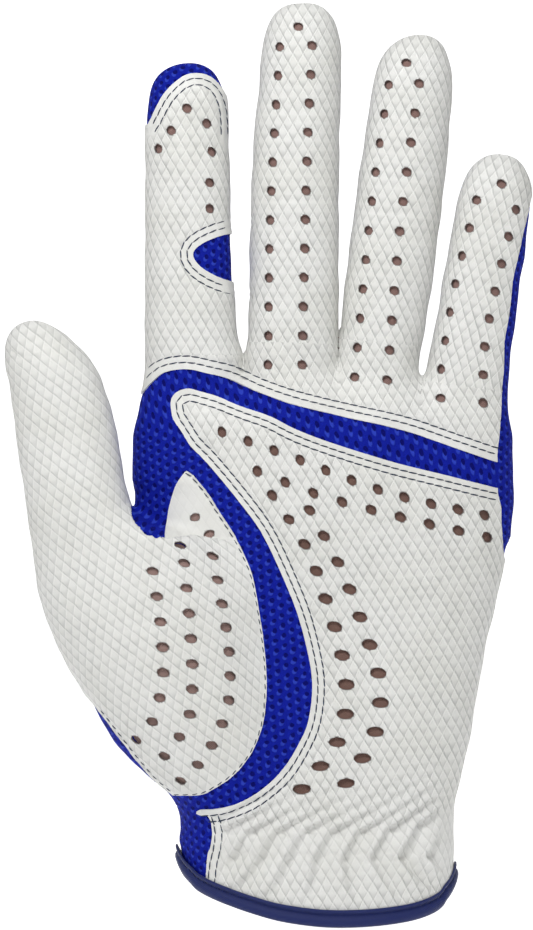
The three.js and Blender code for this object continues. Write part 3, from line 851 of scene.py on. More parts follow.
def new_object(name, points, faces, pattern, normals=None, sharp=None):
    """A mesh object from points in millimetres. Pattern holds across, up and the smooth share."""
    mesh = bpy.data.meshes.new(name)
    mesh.vertices.add(len(points))
    mesh.vertices.foreach_set("co", (np.asarray(points) * MM).astype(np.float32).ravel())
    faces = np.asarray(faces, np.int32)
    mesh.loops.add(faces.size)
    mesh.loops.foreach_set("vertex_index", faces.ravel())
    mesh.polygons.add(len(faces))
    mesh.polygons.foreach_set("loop_start", np.arange(0, faces.size, faces.shape[1], dtype=np.int32))
    mesh.update(calc_edges=True)
    mesh.validate()
    if sharp is not None:
        mesh.set_sharp_from_angle(angle=math.radians(sharp))
    if normals is not None:
        mesh.normals_split_custom_set(normals.tolist())
    attribute = mesh.attributes.new("pattern", "FLOAT_VECTOR", "POINT")
    attribute.data.foreach_set("vector", np.asarray(pattern, np.float32).ravel())
    made = bpy.data.objects.new(name, mesh)
    bpy.context.scene.collection.objects.link(made)
    return made


def border(faces):
    """The directed edges that only one triangle has."""
    edges = np.vstack([faces[:, [0, 1]], faces[:, [1, 2]], faces[:, [2, 0]]])
    size = faces.max() + 1
    forward = edges[:, 0] * size + edges[:, 1]
    backward = edges[:, 1] * size + edges[:, 0]
    return edges[~np.isin(forward, backward)]


def thickened(skin, layer, hidden, rounded):
    """A closed plate from a patch of skin between two depths. Its edge is sunk, except where it is hidden."""
    rows, faces = skin
    points, normals = rows[:, :3], rows[:, 3:6]
    rim = border(faces)
    top = np.full(len(rows), float(layer[0]))
    edge = np.unique(rim)
    edge = edge[np.abs(hidden(rows[edge, 6:9])) > 0.3]
    top[edge] -= rounded
    count = len(rows)
    outer = points + normals * top[:, None]
    inner = points + normals * layer[1]
    a, b = rim[:, 0], rim[:, 1]
    rims = np.vstack([np.stack([b, a, a + count], 1), np.stack([b, a + count, b + count], 1)])
    all_points = np.vstack([outer, inner])
    along = points[b] - points[a]
    across = np.cross(along, normals[a])
    across /= np.maximum(np.linalg.norm(across, axis=1), 1e-9)[:, None]
    at_vertex = np.zeros((count, 3))
    for k in range(3):
        at_vertex[:, k] = np.bincount(a, across[:, k], count) + np.bincount(b, across[:, k], count)
    at_vertex /= np.maximum(np.linalg.norm(at_vertex, axis=1), 1e-9)[:, None]
    rim_normals = at_vertex[np.where(rims >= count, rims - count, rims)]
    all_faces = np.vstack([faces, faces[:, ::-1] + count, rims])
    loop_normals = np.vstack([
        normals[faces].reshape(-1, 3), -normals[faces[:, ::-1]].reshape(-1, 3), rim_normals.reshape(-1, 3),
    ])
    return all_points, all_faces, loop_normals


def hold(piece, limb):
    """A piece of a finger or the thumb has its place baked into its mesh; any other piece is attached to the
    empty of its body.
    """
    if limb in CREASES:
        x, z, lean = CREASES[limb]
        lean = math.radians(lean)
        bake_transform(piece)
    else:
        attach(piece, limb)


def seam_cut(limb):
    """The invisible cut between a bending limb and the hand."""
    if limb in CREASES:
        return lambda b: crease_height(limb, b) + BEND
    return on_hand


def add_piece(name, points, faces, pattern, material, limb="hand", node=None, **shading):
    """A mesh on its limb with its material. It may stand for a CAD node, whose part it then hides."""
    piece = new_object(name, points, faces, pattern, **shading)
    hold(piece, limb)
    piece.data.materials.append(material)
    if node:
        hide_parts(node)


def panel(name, skin, regions, layer, material, limb="hand", node=None, surface=None, back=False,
          smooth_near=(), smooth_width=3.0, holes=(), rounded=0.14):
    """One sewn panel: the part of the skin within all the regions, thickened between two depths."""
    for region in regions:
        skin = clip(skin, region)
    skin = without_crumbs(skin)
    if len(holes):
        in_hole = punched(holes)
        skin = clip(skin, in_hole)
    points, faces, normals = thickened(skin, layer, seam_cut(limb), rounded)
    b = skin[0][:, 6:9]
    pattern = pattern_of(surface or limb, b, back)
    smooth = np.zeros(len(b))
    for line in smooth_near:
        away = distance_to(plane_of(b), line)
        smooth = np.maximum(smooth, 1 - smoothstep(away, smooth_width - 0.6, smooth_width + 0.8))
    if surface == "palm" and not back:
        gathered = smoothstep(b[:, 2], LOWER_ROW - 9, LOWER_ROW)
        gathered = gathered * (1 - smoothstep(b[:, 2] - upper_row(b[:, 0]), 0, 4))
        smooth = np.maximum(smooth, GATHERED_SMOOTH * gathered)
    if len(holes):
        # Marks the rims of the holes, which the leather paints dark: the cut edge's own colour and painted
        # shade.
        smooth[in_hole(b) > -SNAP] = CUT_EDGE
    pattern = np.hstack([pattern, smooth[:, None]])
    add_piece(name, points, faces, np.vstack([pattern, pattern]), material, limb, node, normals=normals)


# ------------------------------------------------------------------ holes and stitches


def hole_places(name):
    """The holes of one group of rows: places across and up, tilt, half length and half width."""
    places = np.vstack([evenly(spline(points), count) for count, points in ROWS[name]])
    shape = np.array(HOLE_SHAPES.get(name, HOLE_SHAPES["finger"]), float)
    looks = [np.interp(places[:, 1], shape[:, 0], shape[:, k]) for k in (1, 2, 3)]
    return np.column_stack([places] + looks)


def on_surface(x, z, side=-1):
    """The place and normal of the skin seen from the palm side, or from the back for side 1."""
    place, normal, _, _ = TREE.ray_cast(Vector((x, side * 80.0, z)), Vector((0, -side, 0)))
    if place is None:
        return None
    return np.array(place), np.array(normal)


def punched(holes):
    """Positive inside the holes: small ellipses round places on the palm side."""
    frames = []
    for x, z, tilt, long, short in holes:
        hit = on_surface(x, z)
        if hit is None:
            continue
        place, normal = hit
        turn = math.radians(tilt)
        across = np.array([math.cos(turn), 0.0, math.sin(turn)])
        across -= normal * (across @ normal)
        across /= np.linalg.norm(across)
        frames.append((place, across / long, np.cross(normal, across) / short, short))

    def value(b):
        out = np.full(len(b), -5.0)
        for place, across, up, short in frames:
            near = np.flatnonzero((np.abs(b - place) < 4.5).all(1))
            away = b[near] - place
            size = np.sqrt((away @ across) ** 2 + (away @ up) ** 2)
            out[near] = np.maximum(out[near], (1 - size) * short)
        return out

    return value


STITCH_SIDES = 6


def tube_faces(start, rings):
    """Triangles of a closed tube of rings of points, the first of which has this index."""
    sides = STITCH_SIDES
    base = np.arange(sides)
    faces = []
    for k in range(rings - 1):
        a = start + k * sides + base
        b = start + k * sides + np.roll(base, -1)
        faces += [np.stack([a, b, b + sides], 1), np.stack([a, b + sides, a + sides], 1)]
    first, last = start + base, start + (rings - 1) * sides + base
    faces.append(np.stack([np.full(sides - 2, first[0]), first[2:], first[1:-1]], 1))
    faces.append(np.stack([np.full(sides - 2, last[0]), last[1:-1], last[2:]], 1))
    return faces


def tube_points(centre, radius, across, up):
    """The rings of points of a tube round a centre line."""
    angle = np.linspace(0, 2 * np.pi, STITCH_SIDES, endpoint=False)[:, None]
    across, up = (np.broadcast_to(way, centre.shape)[:, None] for way in (across, up))
    rings = centre[:, None] + radius[:, None, None] * (np.cos(angle) * across + np.sin(angle) * up)
    return rings.reshape(-1, 3)


STITCH_PITCH, STITCH_SKEW = 2.3, 0.16


def stitch_row(name, lines, material, limb="hand", length=2.4, thick=0.17, side=-1, depth=0.0, lost=None):
    """Separate stitches along polylines seen from one side, each a little askew and dipping in.

    A stitch is left out where the value of lost is positive.
    """
    rings, sides = 6, STITCH_SIDES
    share = np.linspace(0, 1, rings)
    body = np.sin(np.pi * (0.08 + 0.84 * share)) ** 0.45 * thick
    rise = 0.22 * np.sin(np.pi * share) ** 0.8 - 0.12
    points, faces = [], []
    for line in lines:
        run = runs(line)
        for at in np.arange(STITCH_PITCH / 2, run[-1] - STITCH_PITCH / 2, STITCH_PITCH):
            places = [np.array([np.interp(at + step, run, line[:, k]) for k in (0, 1)])
                      for step in (-length / 2, length / 2)]
            sideways = np.array([places[0][1] - places[1][1], places[1][0] - places[0][0]])
            sideways *= STITCH_SKEW / 2 / max(np.linalg.norm(sideways), 1e-6)
            ends = [on_surface(*place, side) for place in (places[0] - sideways, places[1] + sideways)]
            if ends[0] is None or ends[1] is None:
                continue
            (p, n), (q, m) = ends
            if np.linalg.norm(q - p) > 2.2 * length or (lost and lost(((p + q) / 2)[None])[0] > 0):
                continue
            normal = n + m
            normal /= np.linalg.norm(normal)
            along = (q - p) / np.linalg.norm(q - p)
            across = np.cross(along, normal)
            across /= np.linalg.norm(across)
            start = len(points) * rings * sides
            centre = p + share[:, None] * (q - p) + (rise + depth)[:, None] * normal
            points.append(tube_points(centre, body, across, normal))
            faces += tube_faces(start, rings)
    points, faces = np.vstack(points), np.vstack(faces)
    along = np.tile(np.repeat(share, sides), len(points) // (rings * sides))
    pattern = np.stack([along * length, points[:, 2], np.zeros(len(points))], 1)
    add_piece(name, points, faces, pattern, material, limb, sharp=60)


# ------------------------------------------------------------------ materials


class Paint:
    """A small helper that builds a node material."""

    def __init__(self, name):
        self.material = bpy.data.materials.new(name)
        self.material.use_nodes = True
        self.tree = self.material.node_tree
        self.shader = self.tree.nodes["Principled BSDF"]
        attribute = self.tree.nodes.new("ShaderNodeAttribute")
        attribute.attribute_name = "pattern"
        self.place = attribute.outputs["Vector"]
        parts = self.tree.nodes.new("ShaderNodeSeparateXYZ")
        self.link(self.place, parts.inputs[0])
        self.smooth = parts.outputs["Z"]

    def link(self, source, target):
        self.tree.links.new(source, target)

    def feed(self, value, socket):
        if isinstance(value, (int, float, tuple)):
            socket.default_value = value
        else:
            self.link(value, socket)

    def math(self, operation, *values):
        node = self.tree.nodes.new("ShaderNodeMath")
        node.operation = operation
        for value, socket in zip(values, node.inputs):
            self.feed(value, socket)
        return node.outputs[0]

    def times(self, *values):
        """The product of two values."""
        return self.math("MULTIPLY", *values)

    def blend(self, value, factor, added):
        """The value times the factor, plus what is added."""
        return self.math("MULTIPLY_ADD", value, factor, added)

    def wave(self, kind, vector, direction, shift=0.0):
        """A sine or cosine wave along a direction, which is as long as one over the wave's length."""
        return self.math(kind, self.blend(self.dot(vector, direction), 2 * math.pi, 2 * math.pi * shift))

    def dot(self, vector, direction):
        node = self.tree.nodes.new("ShaderNodeVectorMath")
        node.operation = "DOT_PRODUCT"
        self.link(vector, node.inputs[0])
        node.inputs[1].default_value = direction
        return node.outputs["Value"]

    def ramp(self, value, low, high):
        """A smooth step from 0 at low to 1 at high."""
        node = self.tree.nodes.new("ShaderNodeMapRange")
        node.interpolation_type = "SMOOTHSTEP"
        self.feed(value, node.inputs["Value"])
        node.inputs["From Min"].default_value = low
        node.inputs["From Max"].default_value = high
        return node.outputs[0]

    def noise(self, scale, detail=2.0, roughness=0.55):
        node = self.tree.nodes.new("ShaderNodeTexNoise")
        node.inputs["Scale"].default_value = scale
        node.inputs["Detail"].default_value = detail
        node.inputs["Roughness"].default_value = roughness
        self.link(self.place, node.inputs["Vector"])
        return node.outputs[0]

    def moved(self, scale, amount):
        """The pattern coordinates, shaken by noise."""
        noise = self.noise(scale, 1.0).node
        centre = self.tree.nodes.new("ShaderNodeVectorMath")
        centre.operation = "SUBTRACT"
        self.link(noise.outputs["Color"], centre.inputs[0])
        centre.inputs[1].default_value = (0.5, 0.5, 0.5)
        shaken = self.tree.nodes.new("ShaderNodeVectorMath")
        shaken.operation = "MULTIPLY_ADD"
        self.link(centre.outputs[0], shaken.inputs[0])
        shaken.inputs[1].default_value = (amount, amount, 0)
        self.link(self.place, shaken.inputs[2])
        return shaken.outputs[0]

    def mix(self, share, first, second):
        node = self.tree.nodes.new("ShaderNodeMix")
        node.data_type = "RGBA"
        self.feed(share, node.inputs[0])
        self.feed(first, node.inputs[6])
        self.feed(second, node.inputs[7])
        return node.outputs[2]

    def bump(self, height, distance):
        node = self.tree.nodes.new("ShaderNodeBump")
        node.inputs["Strength"].default_value = 1.0
        node.inputs["Distance"].default_value = distance * MM
        self.link(height, node.inputs["Height"])
        self.link(node.outputs[0], self.shader.inputs["Normal"])

    def set(self, **values):
        for name, value in values.items():
            self.feed(value, self.shader.inputs[name.replace("_", " ")])


def srgb(tone, *change):
    """A display colour from 0 to 255 as a linear colour, after a change to all its parts or to each."""
    change = change * 3 if len(change) == 1 else change or (0, 0, 0)
    parts = [max(c + more, 0) / 255 for c, more in zip(tone, change)]
    return tuple(((c + 0.055) / 1.055) ** 2.4 if c > 0.04 else c / 12.92 for c in parts) + (1.0,)


TILE = 2.2                  # distance between the lines of the leather's embossed diamonds


def steps_along(angle, pitch):
    """The direction at an angle in degrees, one over the pitch long."""
    turned = math.radians(angle)
    return math.cos(turned) / pitch, math.sin(turned) / pitch, 0


def leather(name, turn=3.0, tone=(231, 231, 228), emboss=1.0):
    """White synthetic leather, embossed with overlapping diamond scales. Each has a raised upper edge with a
    painted highlight, and painted shade at its foot and lower corner; emboss scales both with the bump.
    """
    paint = Paint(name)
    place = paint.moved(0.3, 0.45)
    right, left = (paint.math("FRACT", paint.dot(place, steps_along(angle + turn, TILE)))
                   for angle in (30, 150))
    right_edge, left_edge = (
        paint.ramp(paint.math("ABSOLUTE", paint.math("SUBTRACT", rise, 0.9)), width, 0.02)
        for rise, width in ((right, 0.14), (left, 0.12)))
    edge = paint.math("MAXIMUM", right_edge, paint.times(left_edge, 0.8))
    # The foot of each scale is painted dark: painted shade.
    lowest = paint.math("MINIMUM", right, paint.blend(left, 0.9, 0.1))
    foot = paint.ramp(lowest, 0.26, 0.04)
    slope = paint.math("ADD", right, left)
    # The lower corner of each scale is painted dark too: painted shade.
    corner = paint.ramp(slope, 1.15, 0.2)
    flat = paint.math("SUBTRACT", 1.0, paint.times(paint.math("ABSOLUTE", paint.smooth), 0.9))
    grain = paint.noise(2.6, 3.0)
    # Patches where the painted shade and painted highlight are stronger or weaker.
    patchy_painted_light = paint.ramp(paint.noise(0.22, 2.0), 0.2, 0.75)
    height = paint.blend(edge, 0.55, paint.times(slope, 0.3))
    height = paint.blend(foot, -0.4, height)
    height = paint.times(height, flat)
    height = paint.blend(grain, 0.2, height)
    paint.bump(height, 0.16 * emboss)
    broad = paint.noise(0.05, 2.0)
    shade = paint.mix(paint.ramp(broad, 0.35, 0.7), srgb(tone), srgb(tone, -5, -5, -7))
    # Painted shade at the feet and lower corners of the scales.
    dark = paint.times(paint.math("MAXIMUM", foot, paint.times(corner, 0.75)), flat)
    dark = paint.times(dark, paint.blend(patchy_painted_light, 0.45 * emboss, 0.3 * emboss))
    shade = paint.mix(dark, shade, srgb(tone, -74, -73, -72))
    # Painted highlight along the raised upper edges of the scales.
    light = paint.times(paint.times(edge, flat), 0.7 * emboss)
    light = paint.times(light, paint.blend(patchy_painted_light, -0.5, 1.0))
    shade = paint.mix(light, shade, srgb(tone, 14))
    # The rims of the perforations are painted dark: the cut edge's own colour and painted shade.
    rim = paint.ramp(paint.smooth, -0.15, CUT_EDGE)
    shade = paint.mix(paint.times(rim, 0.9), shade, srgb((72, 58, 55)))
    paint.set(Base_Color=shade, Roughness=paint.blend(grain, 0.2, 0.4), Specular_IOR_Level=0.3)
    return paint.material


def knit(name, turn=5.0, tone=(16, 36, 172), deep=(0, 3, 100)):
    """Royal blue mesh knit: round yarn loops about openings in staggered rows. The openings are painted dark
    in the deep colour as painted shade, and the loops' crests lighter as a painted highlight.
    """
    pitch, hole = 2.15, 0.9
    paint = Paint(name)
    place = paint.moved(0.5, 0.55)

    def crests(shift):
        """High in staggered spots, where the crests of three waves meet."""
        waves = []
        for angle in (0, 60, 120):
            steps = steps_along(angle + turn, pitch)
            waves.append(paint.wave("COSINE", place, steps, steps[0] * shift[0] + steps[1] * shift[1]))
        return paint.math("ADD", paint.math("ADD", waves[0], waves[1]), waves[2])

    patchy = paint.noise(0.8, 2.0)
    levels = [paint.blend(patchy, 1.4, paint.math("SUBTRACT", crests(shift), 0.7))
              for shift in ((0, 0), (0.35, 0.62))]
    opening = paint.ramp(levels[0], hole, hole + 1.2)
    loop = paint.ramp(levels[1], hole - 0.5, hole + 0.9)
    loop = paint.times(loop, paint.math("SUBTRACT", 1.0, opening))
    yarn = paint.noise(5.5, 2.0, roughness=0.7)
    height = paint.blend(opening, -1.0, paint.times(yarn, 0.4))
    height = paint.blend(loop, 0.5, height)
    paint.bump(height, 0.32)
    ground = paint.mix(paint.ramp(yarn, 0.3, 0.75), srgb(tone, -10, -16, -36), srgb(tone))
    lit = paint.mix(paint.times(loop, 0.6), ground, srgb(tone, 40, 44, 36))
    # Painted shade: the openings darken to the deep colour.
    colour = paint.mix(paint.times(opening, 0.9), lit, srgb(deep))
    paint.set(Base_Color=colour, Roughness=0.8, Specular_IOR_Level=0.12)
    return paint.material


def woven(name, tone, deep, pitch, roughness, depth=0.1):
    """A plain narrow weave: two crossing families of fine threads."""
    paint = Paint(name)
    place = paint.moved(0.6, 0.2)
    warp, weft = (paint.wave("SINE", place, steps) for steps in ((1 / pitch, 0, 0), (0, 1 / pitch, 0)))
    weave = paint.times(warp, weft)
    fibre = paint.noise(4.0, 2.0)
    height = paint.blend(fibre, 0.6, paint.times(weave, 0.5))
    paint.bump(height, depth)
    lit = paint.ramp(paint.blend(fibre, 0.8, weave), -0.7, 1.2)
    paint.set(Base_Color=paint.mix(lit, srgb(deep), srgb(tone)), Roughness=roughness, Specular_IOR_Level=0.3,
              Sheen_Weight=0.2)
    return paint.material


def pile(name, tone, deep, grain):
    """Hook-and-loop tape: a field of small tufts, painted darker between them as painted shade."""
    paint = Paint(name)
    cells = paint.tree.nodes.new("ShaderNodeTexVoronoi")
    cells.inputs["Scale"].default_value = 1 / grain
    paint.link(paint.moved(1.5, 0.3), cells.inputs["Vector"])
    tuft = paint.ramp(cells.outputs["Distance"], 0.6, 0.05)
    paint.bump(tuft, 0.3)
    # Painted shade between the tufts: their edges darken to the deep colour.
    paint.set(Base_Color=paint.mix(tuft, srgb(deep), srgb(tone)), Roughness=0.9, Sheen_Weight=0.3)
    return paint.material


def thread(name, tone=(56, 68, 92), deep=(26, 34, 54)):
    """Twisted sewing thread, painted darker in the grooves of its twist as painted shade."""
    paint = Paint(name)
    twist = paint.wave("SINE", paint.place, (2.1, 1.3, 0))
    paint.bump(twist, 0.05)
    # Painted shade: the grooves of the twist darken to the deep colour.
    colour = paint.mix(paint.ramp(twist, -0.8, 0.8), srgb(deep), srgb(tone))
    paint.set(Base_Color=colour, Roughness=0.6, Specular_IOR_Level=0.3)
    return paint.material


HAND_LEATHER = leather("leather_palm", 3.5)
FINGER_LEATHER = leather("leather_fingers", 0.0)
RING_LEATHER = leather("leather_ring", -5.0)
LITTLE_LEATHER = leather("leather_little", -14.0)
THUMB_LEATHER = leather("leather_thumb", 21.0, emboss=0.8)
WEB_LEATHER = leather("leather_web", 8.0, tone=(230, 230, 226), emboss=0.12)
BACK_LEATHER = leather("leather_back", 0.0)
GORE_KNIT = knit("knit_gore")
BACK_KNIT = knit("knit_back", turn=0.0)
# One lining cloth in three tones: the palm's copy is darker as painted shade in its perforations, and the
# thumb's is lighter as painted light.
LINING_CLOTH = woven("lining_fingers", (170, 138, 130), (124, 94, 88), pitch=0.45, roughness=0.85)
PALM_LINING_SHADED = woven("lining_palm_shaded", (148, 116, 105), (102, 74, 67), pitch=0.45, roughness=0.85)
THUMB_LINING_LIT = woven("lining_thumb_lit", (188, 158, 150), (142, 112, 106), pitch=0.45, roughness=0.85)
BINDING_CLOTH = woven("binding_cloth", (15, 36, 106), (6, 16, 64), pitch=0.55, roughness=0.5, depth=0.06)
ELASTIC_CLOTH = woven("elastic_webbing", (226, 226, 222), (176, 176, 172), pitch=0.8, roughness=0.7)
TAB_LEATHER = leather("leather_tab", 0.0, emboss=0.5)
HOOK_PILE = pile("hook_pile", (206, 206, 202), (120, 120, 118), 0.9)
LOOP_PILE = pile("loop_pile", (214, 214, 210), (150, 150, 146), 0.35)
THREAD = thread("thread_navy")
BLUE_THREAD = thread("thread_blue", (30, 48, 120), (12, 20, 66))
WHITE_THREAD = thread("thread_white", (222, 224, 222), (170, 172, 172))

# ------------------------------------------------------------------ panels of the glove

SKIN = relieved_skin()
TREE = BVHTree.FromPolygons(SKIN[0][:, :3].tolist(), SKIN[1].tolist())
HEM_REACH = 1.2             # panels end this far above the hem, inside the binding


def piece_of(low, high):
    """The triangles of the skin within a box."""
    rows, faces = SKIN
    good = ((rows[:, 6:9] > low) & (rows[:, 6:9] < high)).all(1)
    return packed(rows, faces[good[faces].all(1)])


STRIP_REAR = 5.8            # the strip on the hand's side ends this far behind the middle
FRONT = piece_of((-90, -40, -20), (60, 6, 240))
REAR = piece_of((-90, -12, -20), (60, 40, 240))

PALM_EDGES = [spline(PATCH_EDGE), spline(WRIST_EDGE)[16:]]
LINING_SET_BACK = 1.0       # the linings end this far inside the edges of the leather
GORE_FOOT = 29.5            # height where the gore meets the mesh at the wrist's side


def clear_of_ulnar(b):
    """Negative on the palm's side of the strip along the little finger's side."""
    return -inside(plane_of(b), ULNAR_OUTLINE)


def holes_of(*names):
    """The holes of several groups of rows together."""
    return np.vstack([hole_places(name) for name in names])


def front_panels():
    """The palm side of the hand, with its linings and the mesh that shows between its panels."""
    thumb_holes = holes_of("thumb", "fold")
    hand = clip(clip(FRONT, on_hand), above_hem(HEM_REACH))
    for name, outline, cloth, sides, surface, leather_look, look in (
        ("palm", PALM_OUTLINE, PALM_LINING_SHADED, [clear_of_ulnar], "palm", HAND_LEATHER,
         {"node": "palm_panel", "smooth_near": PALM_EDGES, "smooth_width": 3.3,
          "holes": holes_of("palm")}),
        ("bridge", BRIDGE_OUTLINE, LINING_CLOTH, [clear_of_ulnar], None, HAND_LEATHER,
         {"node": "finger_bridge_panel", "smooth_near": [spline(BAND_TOP)], "smooth_width": 3.6,
          "holes": holes_of("middle", "ring", "little")}),
        ("thumb_ball", THUMB_OUTLINE, THUMB_LINING_LIT, [], "thumb", THUMB_LEATHER,
         {"node": "thumb_palm_panel", "smooth_near": [CRESCENT_LINE], "smooth_width": 1.2,
          "holes": thumb_holes}),
    ):
        panel(name + "_leather", hand, [palm_side(), within(outline), *sides], LEATHER, leather_look,
              surface=surface, **look)
        panel(name + "_lining", hand,
              [palm_side(-LINING_SET_BACK), within(outline, -LINING_SET_BACK), *sides], LINING, cloth,
              surface=surface, rounded=0)
    panel("web_gusset_leather", hand, [palm_side(), within(WEB_OUTLINE)], (-0.25, -0.7), WEB_LEATHER,
          node="thumb_web_gusset", surface="palm", holes=holes_of("web", "fold"))
    panel("web_gusset_lining", hand, [palm_side(-LINING_SET_BACK), within(WEB_OUTLINE)], LINING,
          THUMB_LINING_LIT, surface="palm", rounded=0)

    def gore(b):
        plane = plane_of(b)
        covered = np.min([inside(plane, outline) for outline
                          in (BRIDGE_OUTLINE, PALM_OUTLINE, THUMB_OUTLINE, WEB_OUTLINE)], axis=0)
        return np.maximum(-covered - UNDERLAP, GORE_FOOT + 0.1 - plane[:, 1] - UNDERLAP)

    panel("gore_knit", hand, [palm_side(), gore, clear_of_ulnar, lambda b: GORE_FOOT - b[:, 2]], KNIT,
          GORE_KNIT, node="gore_mesh", surface="gore", holes=thumb_holes)
    panel("wrist_side_knit", hand,
          [palm_side(), within(WRIST_OUTLINE, 1.5), lambda b: b[:, 2] - GORE_FOOT], KNIT, GORE_KNIT,
          node="wrist_side_mesh", surface="palm")


def clear_of_strip(b):
    """Negative on the back, clear of the strip along the little finger's side."""
    return np.where(b[:, 0] > 30, STRIP_REAR - b[:, 1], -9)


def side_and_back():
    """The mesh along the little finger's side, and the panels of the back."""
    rear = clip(clip(REAR, on_hand), above_hem(HEM_REACH))
    both = clip(clip(piece_of((10, -40, -20), (60, 40, 240)), on_hand), above_hem(HEM_REACH))

    def ulnar(b):
        at_band = (b[:, 2] > 106) & (b[:, 2] < 118.5)
        under = np.where(at_band, 0.1, UNDERLAP)
        strip = np.minimum(inside(plane_of(b), ULNAR_OUTLINE) - under, 0.01 - b[:, 1])
        return np.maximum(strip, b[:, 1] - STRIP_REAR)

    panel("ulnar_knit", both, [ulnar, lambda b: 28 - b[:, 0]], KNIT, BACK_KNIT, node="ulnar_side_mesh",
          surface="palm")
    panel("knuckle_leather", rear, [back_side(), within(KNUCKLE_OUTLINE), clear_of_strip], LEATHER,
          BACK_LEATHER, node="back_knuckle_panel", back=True, smooth_near=[spline(KNUCKLE_EDGE)])
    panel("thumb_back_leather", rear, [back_side(), within(THUMB_BACK_OUTLINE)], LEATHER, THUMB_LEATHER,
          node="thumb_back_panel", surface="thumb", back=True, smooth_near=[spline(THUMB_BACK_EDGE)])

    def plain_back(b):
        plane = plane_of(b)
        covered = np.minimum(inside(plane, KNUCKLE_OUTLINE), inside(plane, THUMB_BACK_OUTLINE))
        return np.maximum(-covered - UNDERLAP, -inside(plane, np.array(SLIT, float)))

    panel("back_knit", rear, [back_side(), clear_of_strip, plain_back], KNIT, BACK_KNIT, node="back_mesh",
          surface="palm", back=True)


def finger_strip(limb, side, b):
    """Negative in the strip between a finger's front and back; side 1 is the side away from the thumb."""
    half = strip_half(limb, b[:, 2])
    beyond = np.abs(b[:, 1] - STRIP_HALF) - half
    covered = beyond - np.where(b[:, 1] < STRIP_HALF, np.minimum(half, 1.5), 0)
    if limb == "little" and side > 0:
        open_side = np.maximum(inside(plane_of(b), ULNAR_OUTLINE) - 1.5, b[:, 1] - STRIP_HALF - half)
        covered = np.minimum(covered, open_side)
    return np.maximum(covered, np.where(half > 0, -9, 1))


def fingers():
    """For each finger a leather front with a lining, a mesh back and two mesh strips at the sides."""
    looks = dict(zip(FINGERS, (FINGER_LEATHER, FINGER_LEATHER, RING_LEATHER, LITTLE_LEATHER)))
    cuts = {"index": [outside(CAP_OUTLINE), outside(INSET_OUTLINE)], "little": [clear_of_ulnar]}
    edges = {"index": [spline(CAP_EDGE), spline(INSET_EDGE)]}
    for limb in FINGERS:
        whole = clip(piece_of((-60, -40, 120), (60, 40, 240)), on_limb(limb))

        def front(b):
            return b[:, 1] - STRIP_HALF + strip_half(limb, b[:, 2])

        def back(b):
            return STRIP_HALF + strip_half(limb, b[:, 2]) - b[:, 1]

        panel(limb + "_front_leather", whole, [front] + cuts.get(limb, []), LEATHER, looks[limb], limb,
              limb + "_front_panel", smooth_near=edges.get(limb, ()), smooth_width=3.3,
              holes=hole_places(limb))
        panel(limb + "_front_lining", whole, [lambda b: b[:, 1] + 0.5], LINING, LINING_CLOTH, limb, rounded=0)
        panel(limb + "_back_knit", whole, [back], KNIT, BACK_KNIT, limb, limb + "_back_panel", back=True)
        middle = CREASES[limb][0] + 3
        for side, name in ((-1, "thumbward"), (1, "outer")):
            regions = [lambda b: finger_strip(limb, side, b), lambda b: side * (middle - b[:, 0])]
            panel(f"{limb}_{name}_knit", whole, regions, KNIT, BACK_KNIT, limb, f"{limb}_{name}_strip")
        if limb == "index":
            panel("index_cap_knit", whole, [front, within(CAP_OUTLINE, 1.8)], KNIT, GORE_KNIT, limb,
                  "index_tip_cap")
            panel("index_inset_knit", whole, [lambda b: b[:, 1], within(INSET_OUTLINE, 2.2)], KNIT,
                  GORE_KNIT, limb, "index_side_inset")


def thumb():
    """The bending part of the thumb: a leather front and a leather back."""
    whole = clip(piece_of((-90, -40, 95), (-40, 40, 160)), on_limb("thumb"))
    panel("thumb_front_leather", whole, [palm_side()], LEATHER, THUMB_LEATHER, "thumb", "thumb_front_panel")
    panel("thumb_rear_leather", whole, [back_side()], LEATHER, THUMB_LEATHER, "thumb", "thumb_rear_panel",
          back=True)


def stitching():
    """The visible rows of stitches on the palm side."""
    for name, line, look in (
        ("bridge_stitches", "bridge", {"lost": clear_of_ulnar}),
        ("palm_patch_stitches", "palm", {"lost": clear_of_ulnar}),
        ("index_cap_stitches", "index_cap", {"limb": "index"}),
        ("index_inset_stitches", "index_inset", {"limb": "index"}),
        ("wrist_patch_stitches", "wrist", {}),
        ("thumb_ball_stitches", "thumb", {"thick": 0.13, "length": 1.6}),
    ):
        stitch_row(name, SEAMS[line], THREAD, **look)


front_panels()
side_and_back()
fingers()
thumb()
stitching()

# ------------------------------------------------------------------ cuff and closure

# Profile of the folded binding: out from the wrist's surface, and up from the hem.
BINDING_PROFILE = [
    (0.02, 1.2), (0.02, 4.0), (0.12, 4.3), (0.4, 4.34), (0.62, 4.1), (0.66, 3.75), (0.52, 3.4),
    (0.3, 3.15), (0.24, 2.95), (0.36, 2.75), (0.78, 2.4), (1.04, 1.9), (1.14, 1.35), (1.08, 0.8),
    (0.86, 0.3), (0.45, -0.02), (-0.1, -0.12), (-0.9, -0.12), (-1.6, -0.02), (-2.1, 0.35), (-2.3, 1.0),
    (-2.25, 2.4), (-2.0, 3.8), (-1.7, 4.1), (-1.42, 3.9), (-1.4, 1.2),
]
ELASTIC_BOXES = {"wrist_elastic_upper": (-23, 27, 23, 27.5), "wrist_elastic_lower": (-23, 27, 14, 18.5)}
BINDING_PITCH = 2.1         # between the stitches of the binding
BINDING_STEP = 0.42         # between the rings of its mesh
GROOVE_RISE = 2.95          # the stitches lie in a groove at this height above the hem


